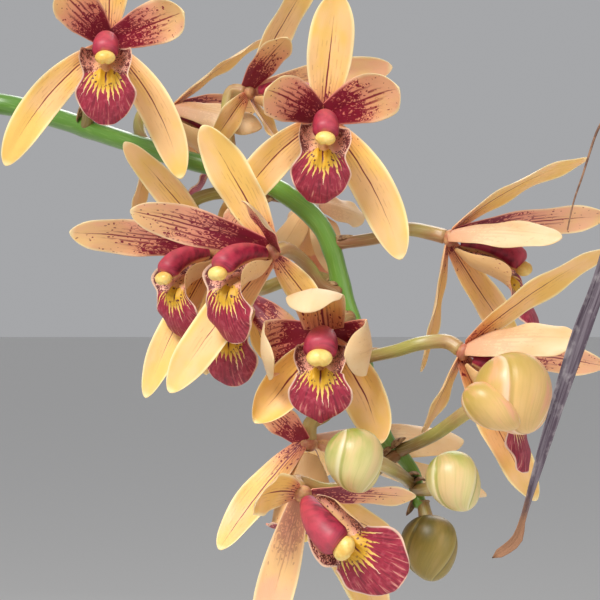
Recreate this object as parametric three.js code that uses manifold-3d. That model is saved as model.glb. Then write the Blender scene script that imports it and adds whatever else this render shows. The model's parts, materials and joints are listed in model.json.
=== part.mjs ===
// A potted cymbidium orchid: a plain clay pot filled with bark, three leafy growths, an
// old withered leaf and one arching flower stem that hangs over on the right, with its
// open blooms and its buds. Millimetres, +Z up. The origin is the centre of the pot's
// underside, on the ground. The flower stem arches towards +X and is seen from -Y.

import * as THREE from 'three';
import Module from 'manifold-3d';
import { mergeVertices } from 'three/addons/utils/BufferGeometryUtils.js';

const wasm = await Module();
wasm.setup();

// The pot
const POT_HEIGHT = 128;
const POT_FOOT_RADIUS = 54;
const POT_TOP_RADIUS = 70;
const POT_WALL = 6;
const POT_FLOOR = 8;
const POT_SIDES = 28;
const RIM_HEIGHT = 24;
const RIM_PROUD = 5;
const DRAIN_HOLES = 5;
const DRAIN_RADIUS = 5;
const DRAIN_RING = 32;

// The bark that fills the pot
const BARK_TOP = 110;
const BARK_CHIPS = 22;
const BARK_SEED = 11;

// The clearance that a piece keeps from the piece it stands in or on
const SEAT_GAP = 0.35;

// Blades: petals, sepals, lips and leaves
const TEPAL_THICKNESS = 0.9;
const LIP_THICKNESS = 0.8;
const LEAF_THICKNESS = 1.4;
const TIP_HALF_WIDTH = 0.45;
const BEND_STEPS = 24;
const TEPAL_ROWS = 5;
const TEPAL_COLUMNS = 2;
const LIP_ROWS = 7;
const LIP_COLUMNS = 4;
const LEAF_ROWS = 9;

// The middle of a bloom, which its petals and sepals grow from
const HUB_RADIUS = 2.1;
const SLIVER = 0.03;

// The spray is laid out as a viewer in front of it sees it: every place on it is given
// as [right, up, away] in millimetres from the spray's middle, with right and up as they
// appear at the middle's distance. away is how far it lies behind the middle.
const SPRAY_MIDDLE = new THREE.Vector3(265, 0, 395);
const VIEW_DISTANCE = 480;

const DEG = Math.PI / 180;

const LOOK = {
  clay: { color: 0xb5694a, roughness: 0.9 },
  bark: { color: 0x5b3d28, roughness: 0.95 },
  leaf: { color: 0x4f7f2c, roughness: 0.5 },
  withered: { color: 0x8a8088, roughness: 0.9 },
  stem: { color: 0x7fae3f, roughness: 0.4 },
  tepal: { color: 0xe9b566, roughness: 0.5 },
  lip: { color: 0xa3223f, roughness: 0.5 },
  column: { color: 0xc23a58, roughness: 0.45 },
  bud: { color: 0xd6cf7c, roughness: 0.5 },
};

const orchid = new THREE.Group();

function seen([right, up, away]) {
  const spread = (VIEW_DISTANCE + away) / VIEW_DISTANCE;
  return new THREE.Vector3(right * spread, away, up * spread).add(SPRAY_MIDDLE);
}

// A seeded generator, so that every build places the chips alike.
function seededRandom(seed) {
  let state = seed;
  return () => {
    state = (state * 1664525 + 1013904223) % 4294967296;
    return state / 4294967296;
  };
}

// Solids

function solidOf(geometry) {
  const bare = geometry.index ? geometry.toNonIndexed() : geometry.clone();
  bare.deleteAttribute('normal');
  bare.deleteAttribute('uv');
  const merged = mergeVertices(bare, 1e-4);
  return new wasm.Manifold(
    new wasm.Mesh({
      numProp: 3,
      vertProperties: new Float32Array(merged.attributes.position.array),
      triVerts: new Uint32Array(merged.index.array),
    }),
  );
}

// Fused geometries, without the slivers that fusing leaves.
function joined(geometries) {
  return geometries
    .map(solidOf)
    .reduce((whole, next) => whole.add(next))
    .asOriginal()
    .simplify(SLIVER);
}

// The largest separate body of a solid, which drops loose scraps.
function largest(solid) {
  return solid.decompose().reduce((best, next) => (next.volume() > best.volume() ? next : best));
}

function geometryOf(solid) {
  const mesh = solid.getMesh();
  const geometry = new THREE.BufferGeometry();
  geometry.setAttribute('position', new THREE.BufferAttribute(mesh.vertProperties, 3));
  geometry.setIndex(new THREE.BufferAttribute(mesh.triVerts, 1));
  return geometry;
}

function addNode(name, look, solid) {
  const material = new THREE.MeshStandardMaterial({ metalness: 0, ...LOOK[look] });
  const mesh = new THREE.Mesh(geometryOf(solid), material);
  mesh.name = name;
  orchid.add(mesh);
}

// Blades

// How wide a blade is at t along it, as a share of its greatest half width.
function outline(t, { foot = 0.34, widest = 0.52, blunt = 2.1, shoulder = 0.72 }) {
  if (t < widest) {
    return foot + (1 - foot) * Math.sin((Math.PI / 2) * (t / widest));
  }
  const past = (t - widest) / (1 - widest);
  return Math.pow(Math.max(0, 1 - Math.pow(past, blunt)), shoulder);
}

// The frames along a blade's midrib. direction runs along it and normal out of its
// inner face; curl bends it towards normal, hook does so near the tip, and sweep
// bends it sideways. All are in degrees.
function midrib({ origin, direction, normal, length, curl = 0, hook = 0, sweep = 0, twist = 0 }) {
  const along = direction.clone().normalize();
  const out = normal.clone().normalize();
  const point = origin.clone();
  const frames = [];
  for (let i = 0; i <= BEND_STEPS; i++) {
    const t = i / BEND_STEPS;
    const side = new THREE.Vector3().crossVectors(along, out);
    frames.push({ point: point.clone(), along: along.clone(), out: out.clone(), side });
    point.addScaledVector(along, length / BEND_STEPS);
    const bend = ((curl + hook * 3 * t * t) * DEG) / BEND_STEPS;
    along.applyAxisAngle(side, bend);
    out.applyAxisAngle(side, bend);
    along.applyAxisAngle(out, (-sweep * DEG) / BEND_STEPS);
    out.applyAxisAngle(along, (twist * DEG) / BEND_STEPS);
  }
  return frames;
}

function frameAt(frames, t) {
  const place = Math.min(Math.max(t, 0), 1) * BEND_STEPS;
  const i = Math.min(Math.floor(place), BEND_STEPS - 1);
  const share = place - i;
  const mix = (key) => frames[i][key].clone().lerp(frames[i + 1][key], share);
  return {
    point: mix('point'),
    along: mix('along').normalize(),
    out: mix('out').normalize(),
    side: mix('side').normalize(),
  };
}

function turnedBasis(main, hint) {
  const x = main.clone().normalize();
  const z = hint.clone().addScaledVector(x, -hint.dot(x)).normalize();
  const y = new THREE.Vector3().crossVectors(z, x);
  return new THREE.Matrix4().makeBasis(x, y, z);
}

// Turns a bent midrib so that it runs from root to tip, with its inner face halfway
// along turned as far towards face as that allows.
function reaching({ root, tip, face, ...bends }) {
  const direction = new THREE.Vector3(0, 0, 1);
  const normal = new THREE.Vector3(0, -1, 0);
  const trial = midrib({ ...bends, origin: new THREE.Vector3(), direction, normal, length: 1 });
  const chord = trial[BEND_STEPS].point;
  const span = tip.clone().sub(root);
  const from = turnedBasis(chord, frameAt(trial, 0.5).out);
  const turn = turnedBasis(span, face).multiply(from.invert());
  return {
    ...bends,
    origin: root,
    direction: direction.applyMatrix4(turn),
    normal: normal.applyMatrix4(turn),
    length: span.length() / chord.length(),
  };
}

// Thickens a sheet to a closed blade, with the same triangles on both its faces.
function thickened(sheet, thickness) {
  const middle = sheet.attributes.position;
  const normals = sheet.attributes.normal;
  const index = sheet.index.array;
  const count = middle.count;
  const positions = new Float32Array(count * 6);
  for (let i = 0; i < count; i++) {
    const p = new THREE.Vector3().fromBufferAttribute(middle, i);
    const n = new THREE.Vector3().fromBufferAttribute(normals, i).multiplyScalar(thickness / 2);
    p.clone().add(n).toArray(positions, i * 3);
    p.clone().sub(n).toArray(positions, (count + i) * 3);
  }
  const faces = [];
  const borders = new Map();
  for (let i = 0; i < index.length; i += 3) {
    const corners = [index[i], index[i + 1], index[i + 2]];
    faces.push(...corners, corners[0] + count, corners[2] + count, corners[1] + count);
    corners.forEach((from, k) => {
      const to = corners[(k + 1) % 3];
      if (!borders.delete(`${to},${from}`)) borders.set(`${from},${to}`, [from, to]);
    });
  }
  for (const [from, to] of borders.values()) {
    faces.push(to, from, from + count, to, from + count, to + count);
  }
  const blade = new THREE.BufferGeometry();
  blade.setAttribute('position', new THREE.BufferAttribute(positions, 3));
  blade.setIndex(faces);
  return blade;
}

// A sheet of rows by columns whose point at (t, s) is given by place, with t from 0 to
// 1 along it and s from -1 to 1 across it. place returns a point and a normal.
function sheetOf(rows, columns, place) {
  const sheet = new THREE.PlaneGeometry(2, 1, columns, rows);
  const { position, normal } = sheet.attributes;
  for (let i = 0; i < position.count; i++) {
    const { point, out } = place(position.getY(i) + 0.5, position.getX(i));
    position.setXYZ(i, ...point);
    normal.setXYZ(i, ...out);
  }
  return sheet;
}

// Where a strip's section, bent round through turn degrees each way, is at s across it.
function bentSection(half, turn, s) {
  const angle = turn * DEG * s;
  if (Math.abs(turn) < 0.1) return { across: half * s, up: 0, angle };
  return {
    across: (half * Math.sin(angle)) / (turn * DEG),
    up: (half * (1 - Math.cos(angle))) / (turn * DEG),
    angle,
  };
}

// The way a strip's inner face looks where its section has turned through angle.
function turnedFace(out, side, angle) {
  const sideways = -Math.sin(angle);
  return out.clone().multiplyScalar(Math.cos(angle)).addScaledVector(side, sideways);
}

// A petal, sepal or leaf. cup is how far its section is bent round on each side.
function blade(spec, rows, columns, thickness) {
  const frames = midrib(spec);
  const sheet = sheetOf(rows, columns, (t, s) => {
    const { point, out, side } = frameAt(frames, t);
    const half = Math.max(TIP_HALF_WIDTH, (spec.width / 2) * outline(t, spec));
    const { across, up, angle } = bentSection(half, spec.cup ?? 15, s);
    point.addScaledVector(side, across).addScaledVector(out, up);
    return { point, out: turnedFace(out, side, angle) };
  });
  return thickened(sheet, thickness);
}

// A closed tube whose radius changes along a curve, made from a cylinder.
function taperedTube(curve, radiusAt, sides, segments) {
  const tube = new THREE.CylinderGeometry(1, 1, 1, sides, segments);
  const frames = curve.computeFrenetFrames(segments, false);
  const position = tube.attributes.position;
  for (let i = 0; i < position.count; i++) {
    const t = position.getY(i) + 0.5;
    const k = Math.round(t * segments);
    const radius = radiusAt(t);
    const point = curve
      .getPointAt(t)
      .addScaledVector(frames.normals[k], position.getZ(i) * radius)
      .addScaledVector(frames.binormals[k], position.getX(i) * radius);
    position.setXYZ(i, ...point);
  }
  return tube;
}

// The open blooms. at is the bloom's middle, facing the way its column points and top
// the way its dorsal sepal stands, both as [x, y, z]. Each petal and sepal has the place
// of its tip, and face, where given, is the way its inner side looks. left and right are
// as the bloom's own face is seen. stalk runs from the flower stem to the bloom. hood
// swells a column's end, flare widens a lip's front lobe, open holds that lobe out, and
// pointed brings it to a point.
const BLOOMS = [
  {
    name: 'top_left', at: [-48, 64.5, -6], facing: [0.06, -1, -0.2], top: [0, 0, 1],
    stalk: [[-53.2, 42.8, 27], [-52.7, 49, 20], [-51, 56, 10]],
    dorsal: { tip: [-47, 94.5, -14], width: 10, curl: 12 },
    leftPetal: { tip: [-60, 77.5, -24], width: 11, curl: 35 },
    rightPetal: { tip: [-29, 72, -26], width: 11, curl: 35 },
    leftSepal: { tip: [-73.7, 33.5, -6], width: 9, sweep: -34 },
    rightSepal: { tip: [-29.7, 30.2, -8], width: 9, sweep: 34 },
  },
  {
    name: 'top_rear_left', at: [-32, 47.2, 26], facing: [0.85, 0, -0.5], top: [0.5, 0, 0.85],
    stalk: [[-37.5, 37.7, 15], [-40, 42, 22], [-39.5, 46, 27]],
    dorsal: { tip: [-7.5, 66, 24], width: 8, curl: 14, face: [0.6, -0.15, -0.8] },
    leftPetal: { tip: [-9.5, 43, 19], width: 8, curl: 20, face: [0.1, 0.8, -0.5] },
    rightPetal: { tip: [-10.5, 48, 42], width: 8, curl: 20, face: [0, -0.9, -0.4] },
    leftSepal: { tip: [-41.7, 20.5, 26], width: 8, curl: 10, face: [0.9, -0.4, 0.2] },
    rightSepal: { tip: [-20, 30, 42], width: 8, curl: 10, face: [0.7, -0.6, 0.3] },
  },
  {
    name: 'top_rear', at: [-12.5, 52, 14], facing: [0.9, -0.35, -0.05], top: [0, 0, 1],
    stalk: [[-16, 32, 6], [-17.8, 40, 12], [-18.2, 47, 15]],
    dorsal: { tip: [4.5, 83.7, 18], width: 9.5, curl: 8, face: [0.5, -0.7, -0.5] },
    leftPetal: { tip: [-3.2, 65.7, -4], width: 8, curl: 20, face: [0.3, -0.9, -0.3] },
    rightPetal: { tip: [23.2, 58.2, 28], width: 9.5, foot: 0.3, curl: 18, face: [0, -0.9, -0.4] },
    leftSepal: { tip: [-22.5, 38, -2], width: 7.5, curl: 10, face: [0.5, -0.8, -0.2] },
    rightSepal: { tip: [-3.7, 38, 20], width: 8, curl: 10, face: [0.8, -0.3, 0.3] },
  },
  {
    name: 'top_centre', at: [5.7, 45.7, -8], facing: [0.04, -1, -0.24], top: [0.1, 0, 1],
    stalk: [[1, 23, 4], [3, 31, 8], [5, 40, 5]],
    dorsal: { tip: [9.2, 77.2, -15], width: 11.5, curl: 12 },
    leftPetal: { tip: [-8.5, 52.7, -27], width: 12, curl: 38 },
    rightPetal: { tip: [24.8, 53, -26], width: 12.5, curl: 34 },
    leftSepal: { tip: [-17, 21.2, -8], width: 9.5, sweep: -28 },
    rightSepal: { tip: [25.2, 10, -10], width: 10.5, sweep: 30 },
  },
  {
    name: 'middle_rear', at: [3, 23.7, 20], facing: [0.1, 0.9, -0.4], top: [0, 0.4, 0.9],
    stalk: [[4.5, 19.5, 5], [3.2, 23, 9]],
    dorsal: { tip: [8, 42, 34], width: 9, curl: 12 },
    leftPetal: { tip: [16.2, 20.7, 32], width: 8, curl: 12 },
    rightPetal: { tip: [-4.5, 12.5, 34], width: 9, curl: 12 },
    leftSepal: { tip: [8.7, 6.5, 13], width: 6.5, curl: -8 },
    rightSepal: { tip: [-8, 8, 26], width: 8, curl: -8 },
  },
  {
    name: 'left_rear', at: [-21.5, 12.5, 4], facing: [-0.68, -0.68, -0.27], top: [0, 0, 1],
    stalk: [[-3.5, 26, 5], [-14, 26.7, 9], [-22, 26.5, 12], [-27, 24, 15], [-23, 17, 14]],
    dorsal: { tip: [-44, 39.5, -4], width: 8.5, curl: 14, face: [-0.3, -0.9, -0.3] },
    leftPetal: { tip: [-57.7, 17, -4], width: 10, curl: 14, face: [0, -0.9, -0.45] },
    rightPetal: { tip: [-13.5, 23.5, -6], width: 8, curl: 14, face: [-0.6, -0.6, 0] },
    leftSepal: { tip: [-38.7, -24.5, 2], width: 8.5, sweep: -12, face: [-0.3, -0.9, 0.1] },
    rightSepal: { tip: [-23.7, -18.7, 14], width: 9, curl: 6, face: [-0.5, -0.8, 0] },
  },
  {
    name: 'left_front', at: [-7, 12, -14], facing: [-0.68, -0.72, -0.15],
    top: [0, 0, 1], size: 1.05,
    stalk: [[10, 1.8, 3], [5.5, 3.7, 0], [2, 8.5, -3]],
    dorsal: { tip: [-24.5, 43.7, -20], width: 11, curl: 14, face: [-0.3, -0.9, -0.2] },
    leftPetal: { tip: [-42.5, 22.5, -22], width: 10, curl: 14, face: [0.1, -0.9, -0.45] },
    rightPetal: { tip: [-13.2, 24.2, -42], width: 9, curl: 14, face: [-0.72, -0.22, -0.65] },
    leftSepal: { tip: [-32.7, -23.2, -14], width: 10.5, sweep: -10, face: [-0.2, -0.9, 0.1] },
    rightSepal: { tip: [5.5, -4, -10], width: 7.5, curl: 6, face: [-0.3, -0.9, 0.2] },
  },
  {
    name: 'left_low', at: [-14, 0.7, 8], facing: [-0.25, -0.93, -0.27], top: [0, 0, 1],
    stalk: [[9.2, 4.5, 5], [1, 6, 14], [-9, 3, 18]],
    dorsal: { tip: [-18, 25.5, 18], width: 9, curl: 8 },
    leftPetal: { tip: [-27, 4, 18], width: 8, curl: 8 },
    rightPetal: { tip: [-0.7, -11.2, 0], width: 9, curl: 10, face: [-0.2, -0.9, 0.3] },
    leftSepal: { tip: [-19.5, -19.5, 20], width: 8, curl: 4 },
    rightSepal: { tip: [-7.2, -17, 8], width: 7, curl: 8, face: [-0.8, -0.6, 0] },
  },
  {
    name: 'right_upper', at: [37.5, 15.5, 3], facing: [0.93, -0.25, -0.26],
    top: [0.2, -0.26, 0.94], size: 1.1, open: true,
    stalk: [[8.5, 14, 4], [19, 15.5, 3], [26.5, 17.7, 2]],
    dorsal: { tip: [72.2, 35.5, 4], width: 9, curl: 30, face: [0.35, -0.4, -0.85] },
    leftPetal: { tip: [65.6, 15.5, -17], width: 9, curl: 22, face: [0.1, 0.75, -0.65] },
    rightPetal: { tip: [77, 21, 14], width: 9, curl: 14, face: [0, -0.8, -0.55] },
    leftSepal: { tip: [30.2, -18, 2], width: 8.5, curl: -8, face: [0.93, -0.3, 0] },
    rightSepal: { tip: [55.5, -13, 20], width: 10, curl: 8, face: [0.6, -0.8, 0.1] },
  },
  {
    name: 'right_lower', at: [41, -13, -8], facing: [0.8, -0.34, -0.49],
    top: [0.42, -0.2, 0.88], size: 1.14, open: true,
    stalk: [[15.6, -14.5, 2], [24, -12.7, -3], [30, -10.9, -6]],
    dorsal: { tip: [77, 12.7, -22], width: 9, curl: 22, face: [0.3, -0.7, -0.65] },
    leftPetal: { tip: [69.5, -10, -24], width: 12, curl: 24, face: [0.1, 0.7, -0.7] },
    rightPetal: { tip: [76.5, -16.5, 2], width: 8.5, curl: 14, face: [0, -0.85, -0.5] },
    leftSepal: { tip: [30.5, -33.2, -6], width: 8.5, curl: -4, face: [0.9, -0.4, -0.2] },
    rightSepal: { tip: [59.2, -50.2, -4], width: 10.5, curl: 8, face: [0.5, -0.85, 0] },
  },
  {
    name: 'middle_hooded', at: [6.5, -9, -18], facing: [-0.1, -0.98, -0.13],
    top: [0, -0.1, 1], size: 0.98, flare: 1.14, hood: 1.28, pointed: true,
    stalk: [[12.6, -4, 3], [9.5, -6.5, -3]],
    dorsal: { tip: [2, -3.2, -40], width: 14, curl: 130, face: [0, -0.3, -1], cup: 30, foot: 0.7 },
    leftPetal: { tip: [-6.5, -14.5, -33], width: 14, curl: 158, face: [0.8, -0.6, 0] },
    rightPetal: { tip: [11, -13.6, -34.5], width: 13.2, curl: 166, face: [-0.75, -0.6, -0.1] },
    leftSepal: { tip: [-11.5, -30.7, -24], width: 14, curl: 30, cup: 75 },
    rightSepal: { tip: [20.2, -36, -22], width: 12, sweep: 30, cup: 45 },
  },
  {
    name: 'bottom_rear', at: [2.2, -36, -4], facing: [-0.08, 0, -1], top: [0, 1, 0],
    size: 1.2,
    stalk: [[15.7, -17, 3], [12.5, -21.5, 1], [6.5, -28.5, -1]],
    dorsal: { tip: [6, -44, 26], width: 9, curl: 20, face: [0, 0.3, -0.95] },
    rightPetal: { tip: [-10.5, -24.5, -12], width: 9.5, curl: 10, face: [-0.3, -0.8, -0.4] },
    leftPetal: { tip: [41, -35.2, 20], width: 10, curl: 10, face: [0, 0.8, -0.5] },
    rightSepal: { tip: [-20.2, -62.5, -17], width: 9, sweep: -14, face: [-0.4, -0.85, 0.2] },
    leftSepal: { tip: [46.7, -49, 20], width: 8, curl: 6, face: [0, 0.8, 0.5] },
  },
  {
    name: 'bottom_front', at: [0.7, -48.5, -30], facing: [0.36, -0.78, -0.5],
    top: [-0.75, -0.6, 0.3], size: 1.1, open: true, flare: 1.14, hood: 1.15,
    stalk: [[24.5, -38.2, 0], [16, -44.5, -10], [7, -47.5, -20]],
    dorsal: { tip: [-11, -50.5, -44], width: 12, curl: 50, face: [0.3, -0.8, -0.5] },
    rightPetal: { tip: [29, -49.2, -17], width: 6.5, curl: 6, face: [0, -0.8, -0.6] },
    leftPetal: { tip: [-9.5, -85, -26], width: 9.5, curl: 6, face: [0, -0.95, 0.3] },
    leftSepal: { tip: [21, -82, -20], width: 11, sweep: 20, face: [0.2, -0.95, 0.3] },
    rightSepal: { tip: [24, -60, -8], width: 8, curl: 6, face: [0.2, -0.9, 0.3] },
  },
];

const ROOT_OUT = 1.3;
const ROOT_BACK = 0.5;
const TEPALS = ['dorsal', 'leftPetal', 'rightPetal', 'leftSepal', 'rightSepal'];

// Petals are blunter than sepals, and their inner sides are more hollow.
const PETAL_FORM = { cup: 18, foot: 0.46, widest: 0.58, blunt: 2.8, shoulder: 0.62 };
const SEPAL_FORM = { cup: 16 };

// Where a petal or sepal starts: off the bloom's middle, out from the column and back.
function rootOf(middle, facing, tip) {
  const front = new THREE.Vector3(...facing).normalize();
  const outward = tip.clone().sub(middle);
  outward.addScaledVector(front, -outward.dot(front)).normalize();
  return middle.clone().addScaledVector(outward, ROOT_OUT).addScaledVector(front, -ROOT_BACK);
}

function tepalsOf(bloom) {
  return TEPALS.map((part) => {
    const form = part.endsWith('Petal') ? PETAL_FORM : SEPAL_FORM;
    const spec = { ...form, ...bloom[part] };
    const face = new THREE.Vector3(...(spec.face ?? bloom.facing));
    const root = rootOf(seen(bloom.at), bloom.facing, seen(spec.tip));
    return blade(
      { ...spec, ...reaching({ ...spec, root, tip: seen(spec.tip), face }) },
      TEPAL_ROWS,
      TEPAL_COLUMNS,
      TEPAL_THICKNESS,
    );
  });
}

function hubRadius({ size = 1 }) {
  return HUB_RADIUS * size;
}

// The frame of a bloom's lip and column: -Y runs along the column, +Z to the top.
function bloomMatrix({ at, facing, top, size = 1 }) {
  const front = new THREE.Vector3(...facing).normalize();
  const up = new THREE.Vector3(...top);
  up.addScaledVector(front, -up.dot(front)).normalize();
  const right = new THREE.Vector3().crossVectors(up, front);
  return new THREE.Matrix4()
    .makeBasis(right, front.negate(), up)
    .scale(new THREE.Vector3(size, size, size))
    .setPosition(seen(at));
}

// The lip's middle line in the bloom's own frame, as [forward, up].
const LIP_LINE = [
  [3.2, -2.6], [7, -4.9], [11.5, -5.6], [15, -7.4], [16.6, -10.9], [16.4, -15], [14.6, -19],
];
// The same line of a lip whose front lobe is held out.
const OPEN_LIP_LINE = [
  [3.2, -2.6], [7, -4.9], [11.5, -5.6], [15.6, -6.8], [19.2, -9], [22.2, -12], [24.6, -15.6],
];
// Half the lip's developed width, and how far its sides stand up, along the same line.
const LIP_HALF = [1.4, 7, 8.6, 5.8, 7.4, 6.2, 1.8];
const POINTED_LIP_HALF = [1.4, 7, 8.6, 5.4, 6.8, 5.9, 1];
const LIP_STAND = [50, 78, 76, 36, -6, -10, -6];
// How far along the lip its front lobe begins.
const LIP_BEND = 0.5;
// The side lobes' points reach this far forward of the middle line.
const LIP_REACH = [0, 0, 3.4, 0.6, 0, 0, 0];

// A smooth value through evenly spaced ones, by Catmull-Rom.
function smoothValue(values, t) {
  const place = Math.min(Math.max(t, 0), 1) * (values.length - 1);
  const i = Math.min(Math.floor(place), values.length - 2);
  const u = place - i;
  const at = (k) => values[Math.min(Math.max(k, 0), values.length - 1)];
  const [a, b, c, d] = [at(i - 1), at(i), at(i + 1), at(i + 2)];
  return b + 0.5 * u * (c - a + u * (2 * a - 5 * b + 4 * c - d + u * (3 * (b - c) + d - a)));
}

function lipBlade({ open = false, pointed = false, flare = 1 }) {
  const line = open ? OPEN_LIP_LINE : LIP_LINE;
  const halves = pointed ? POINTED_LIP_HALF : LIP_HALF;
  const forwards = line.map((p) => p[0]);
  const ups = line.map((p) => p[1]);
  const step = 0.01;
  const sheet = sheetOf(LIP_ROWS, LIP_COLUMNS, (t, s) => {
    const df = smoothValue(forwards, t + step) - smoothValue(forwards, t - step);
    const du = smoothValue(ups, t + step) - smoothValue(ups, t - step);
    const length = Math.hypot(df, du);
    const along = new THREE.Vector3(0, -df / length, du / length);
    const side = new THREE.Vector3(-1, 0, 0);
    const out = new THREE.Vector3(0, du / length, df / length);
    const half = smoothValue(halves, t) * (t < LIP_BEND ? 1 : flare);
    const { across, up, angle } = bentSection(half, smoothValue(LIP_STAND, t), s);
    const point = new THREE.Vector3(0, -smoothValue(forwards, t), smoothValue(ups, t))
      .addScaledVector(side, across)
      .addScaledVector(out, up)
      .addScaledVector(along, smoothValue(LIP_REACH, t) * s * s);
    return { point, out: turnedFace(out, side, angle) };
  });
  return thickened(sheet, LIP_THICKNESS);
}

// The column arches forward over the lip and ends in the anther cap.
const COLUMN_LINE = [
  [0, -2.75, -0.1], [0, -8, 0.6], [0, -13.5, 0], [0, -17.6, -2],
];

function columnSolid({ hood = 1 }) {
  const path = new THREE.CatmullRomCurve3(COLUMN_LINE.map((p) => new THREE.Vector3(...p)));
  const shaft = taperedTube(path, (t) => 1.7 + (1.5 + 3.2 * (hood - 1)) * Math.sin(t * 1.9), 7, 3);
  const cap = new THREE.SphereGeometry(1, 7, 4);
  cap.scale(2.5 * hood, 2 * hood, 1.8 * hood);
  cap.translate(0, -18, -2.6);
  return joined([shaft, cap]);
}

for (const bloom of BLOOMS) {
  const matrix = bloomMatrix(bloom);
  const hub = new THREE.IcosahedronGeometry(hubRadius(bloom)).translate(...seen(bloom.at));
  const lip = lipBlade(bloom).applyMatrix4(matrix);
  const column = geometryOf(columnSolid(bloom)).applyMatrix4(matrix);
  addNode(`bloom_${bloom.name}_petals`, 'tepal', joined([hub, ...tepalsOf(bloom)]));
  addNode(`bloom_${bloom.name}_lip`, 'lip', solidOf(lip));
  addNode(`bloom_${bloom.name}_column`, 'column', solidOf(column));
}

// The flower stem, as [x, y, z] from the pot to the spray's left, then along the spray.
const STEM_RISE = [
  [30, 4, 94], [31, 4, 130], [35, 8, 200], [46, 16, 280], [68, 26, 360], [100, 36, 418], [142, 43, 450],
];
const STEM_SPRAY = [
  [-75, 49, 45], [-60, 45.2, 34], [-44.5, 40, 20], [-27.2, 34.7, 9], [-12.5, 31, 5], [-2.5, 25.7, 4],
  [5, 18.7, 4], [8.5, 11, 4], [10.5, 2.5, 4], [13.7, -7.5, 4], [16.2, -17.5, 3], [19.2, -27.5, 1],
  [22, -35.5, 0], [26, -39.7, 0], [28.5, -43.7, 0], [29.2, -48.7, -1], [30.7, -52.5, -3],
];
// The stem's radius along it, evenly spaced.
const STEM_RADII = [3.6, 3.4, 3.2, 3, 2.8, 2.6, 2.4, 2.2, 2.1, 2.4, 3.2, 3, 2.6, 2.4, 2.3, 2.1, 1.5];
const STEM_SEGMENTS = 38;
const STALK_RADIUS = 1.5;
const OVARY_RADIUS = 1.8;
const OVARY_REACH = 5;

const BUDS = [
  {
    name: 'low_left', at: [13.7, -40.2, -33], half: [6.7, 6.7, 7.6], axis: [0.25, -0.1, -1],
    stalk: [[27.5, -45.5, -1], [24, -43, -14], [20, -40.5, -26]],
  },
  {
    name: 'low_right', at: [38.7, -45.5, -14], half: [6.4, 6.4, 7.6], axis: [0.45, -0.2, -0.85],
    stalk: [[29, -47.5, -1], [32, -47.3, -8], [34.5, -46.8, -12]],
  },
  {
    name: 'opening', at: [53.5, -23.6, -32], half: [9.2, 8.4, 9.8], axis: [0.45, -0.2, -0.85],
    sepals: [{ at: [48, -27, -36], half: [5.4, 4.6, 7.6], axis: [0.8, -0.1, -0.5] }],
    stalk: [[24.2, -38, 0], [33, -34, -10], [41, -27.7, -24]],
  },
  {
    name: 'lowest', at: [32.5, -62, -6], half: [7, 5.6, 8.2], axis: [0.1, -0.1, -1],
    stalk: [[30.7, -50.5, -2], [31.5, -54.5, -4]],
  },
];

function curveThrough(points) {
  return new THREE.CatmullRomCurve3(points, false, 'centripetal');
}

function swell(t) {
  return STALK_RADIUS + (OVARY_RADIUS - STALK_RADIUS) * t;
}

// A stalk that comes to the bloom from behind and ends just short of its middle.
function bloomStalk(bloom) {
  const back = new THREE.Vector3(...bloom.facing).normalize().negate();
  const place = (distance) => seen(bloom.at).addScaledVector(back, distance);
  const end = place(hubRadius(bloom) + SEAT_GAP);
  const points = [...bloom.stalk.map(seen), place(OVARY_REACH), end];
  return taperedTube(curveThrough(points), swell, 5, 5);
}

// A bud's egg, drawn out towards its tip, and larger by extra all round.
function budShape({ at, half, axis }, extra = 0) {
  const egg = new THREE.SphereGeometry(1, 10, 8);
  const position = egg.attributes.position;
  const [across, through, along] = half.map((size) => size + extra);
  for (let i = 0; i < position.count; i++) {
    const y = position.getY(i);
    const slim = 1 - 0.16 * y;
    position.setXYZ(i, position.getX(i) * across * slim, y * along, position.getZ(i) * through * slim);
  }
  const tip = new THREE.Vector3(...axis).normalize();
  egg.applyQuaternion(new THREE.Quaternion().setFromUnitVectors(new THREE.Vector3(0, 1, 0), tip));
  return egg.translate(...seen(at));
}

function budSolid(bud, extra = 0) {
  return joined([bud, ...(bud.sepals ?? [])].map((shape) => budShape(shape, extra)));
}

// A bud's stalk runs up to the bud and is cut to its form, just short of it.
function budStalk(bud) {
  const tube = taperedTube(curveThrough([...bud.stalk, bud.at].map(seen)), swell, 5, 4);
  return solidOf(tube).subtract(budSolid(bud, SEAT_GAP));
}

const stemLine = curveThrough([
  ...STEM_RISE.map((p) => new THREE.Vector3(...p)),
  ...STEM_SPRAY.map(seen),
]);
const stemShaft = taperedTube(stemLine, (t) => smoothValue(STEM_RADII, t), 7, STEM_SEGMENTS);
const bloomStalks = BLOOMS.map((bloom) => solidOf(bloomStalk(bloom)));
const stem = [...bloomStalks, ...BUDS.map(budStalk)].reduce(
  (whole, stalk) => whole.add(stalk),
  solidOf(stemShaft),
);
addNode('flower_stem', 'stem', stem.asOriginal().simplify(SLIVER));
for (const bud of BUDS) addNode(`bud_${bud.name}`, 'bud', budSolid(bud));

// Pot and bark

// The pot's inner radius at height z.
function innerRadius(z) {
  const rise = (z - POT_FLOOR) / (POT_HEIGHT - POT_FLOOR);
  return POT_FOOT_RADIUS - POT_WALL + rise * (POT_TOP_RADIUS - POT_FOOT_RADIUS);
}

function turned(profile, sides) {
  const lathe = new THREE.LatheGeometry(profile.map((p) => new THREE.Vector2(...p)), sides);
  return solidOf(lathe.rotateX(Math.PI / 2));
}

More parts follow.
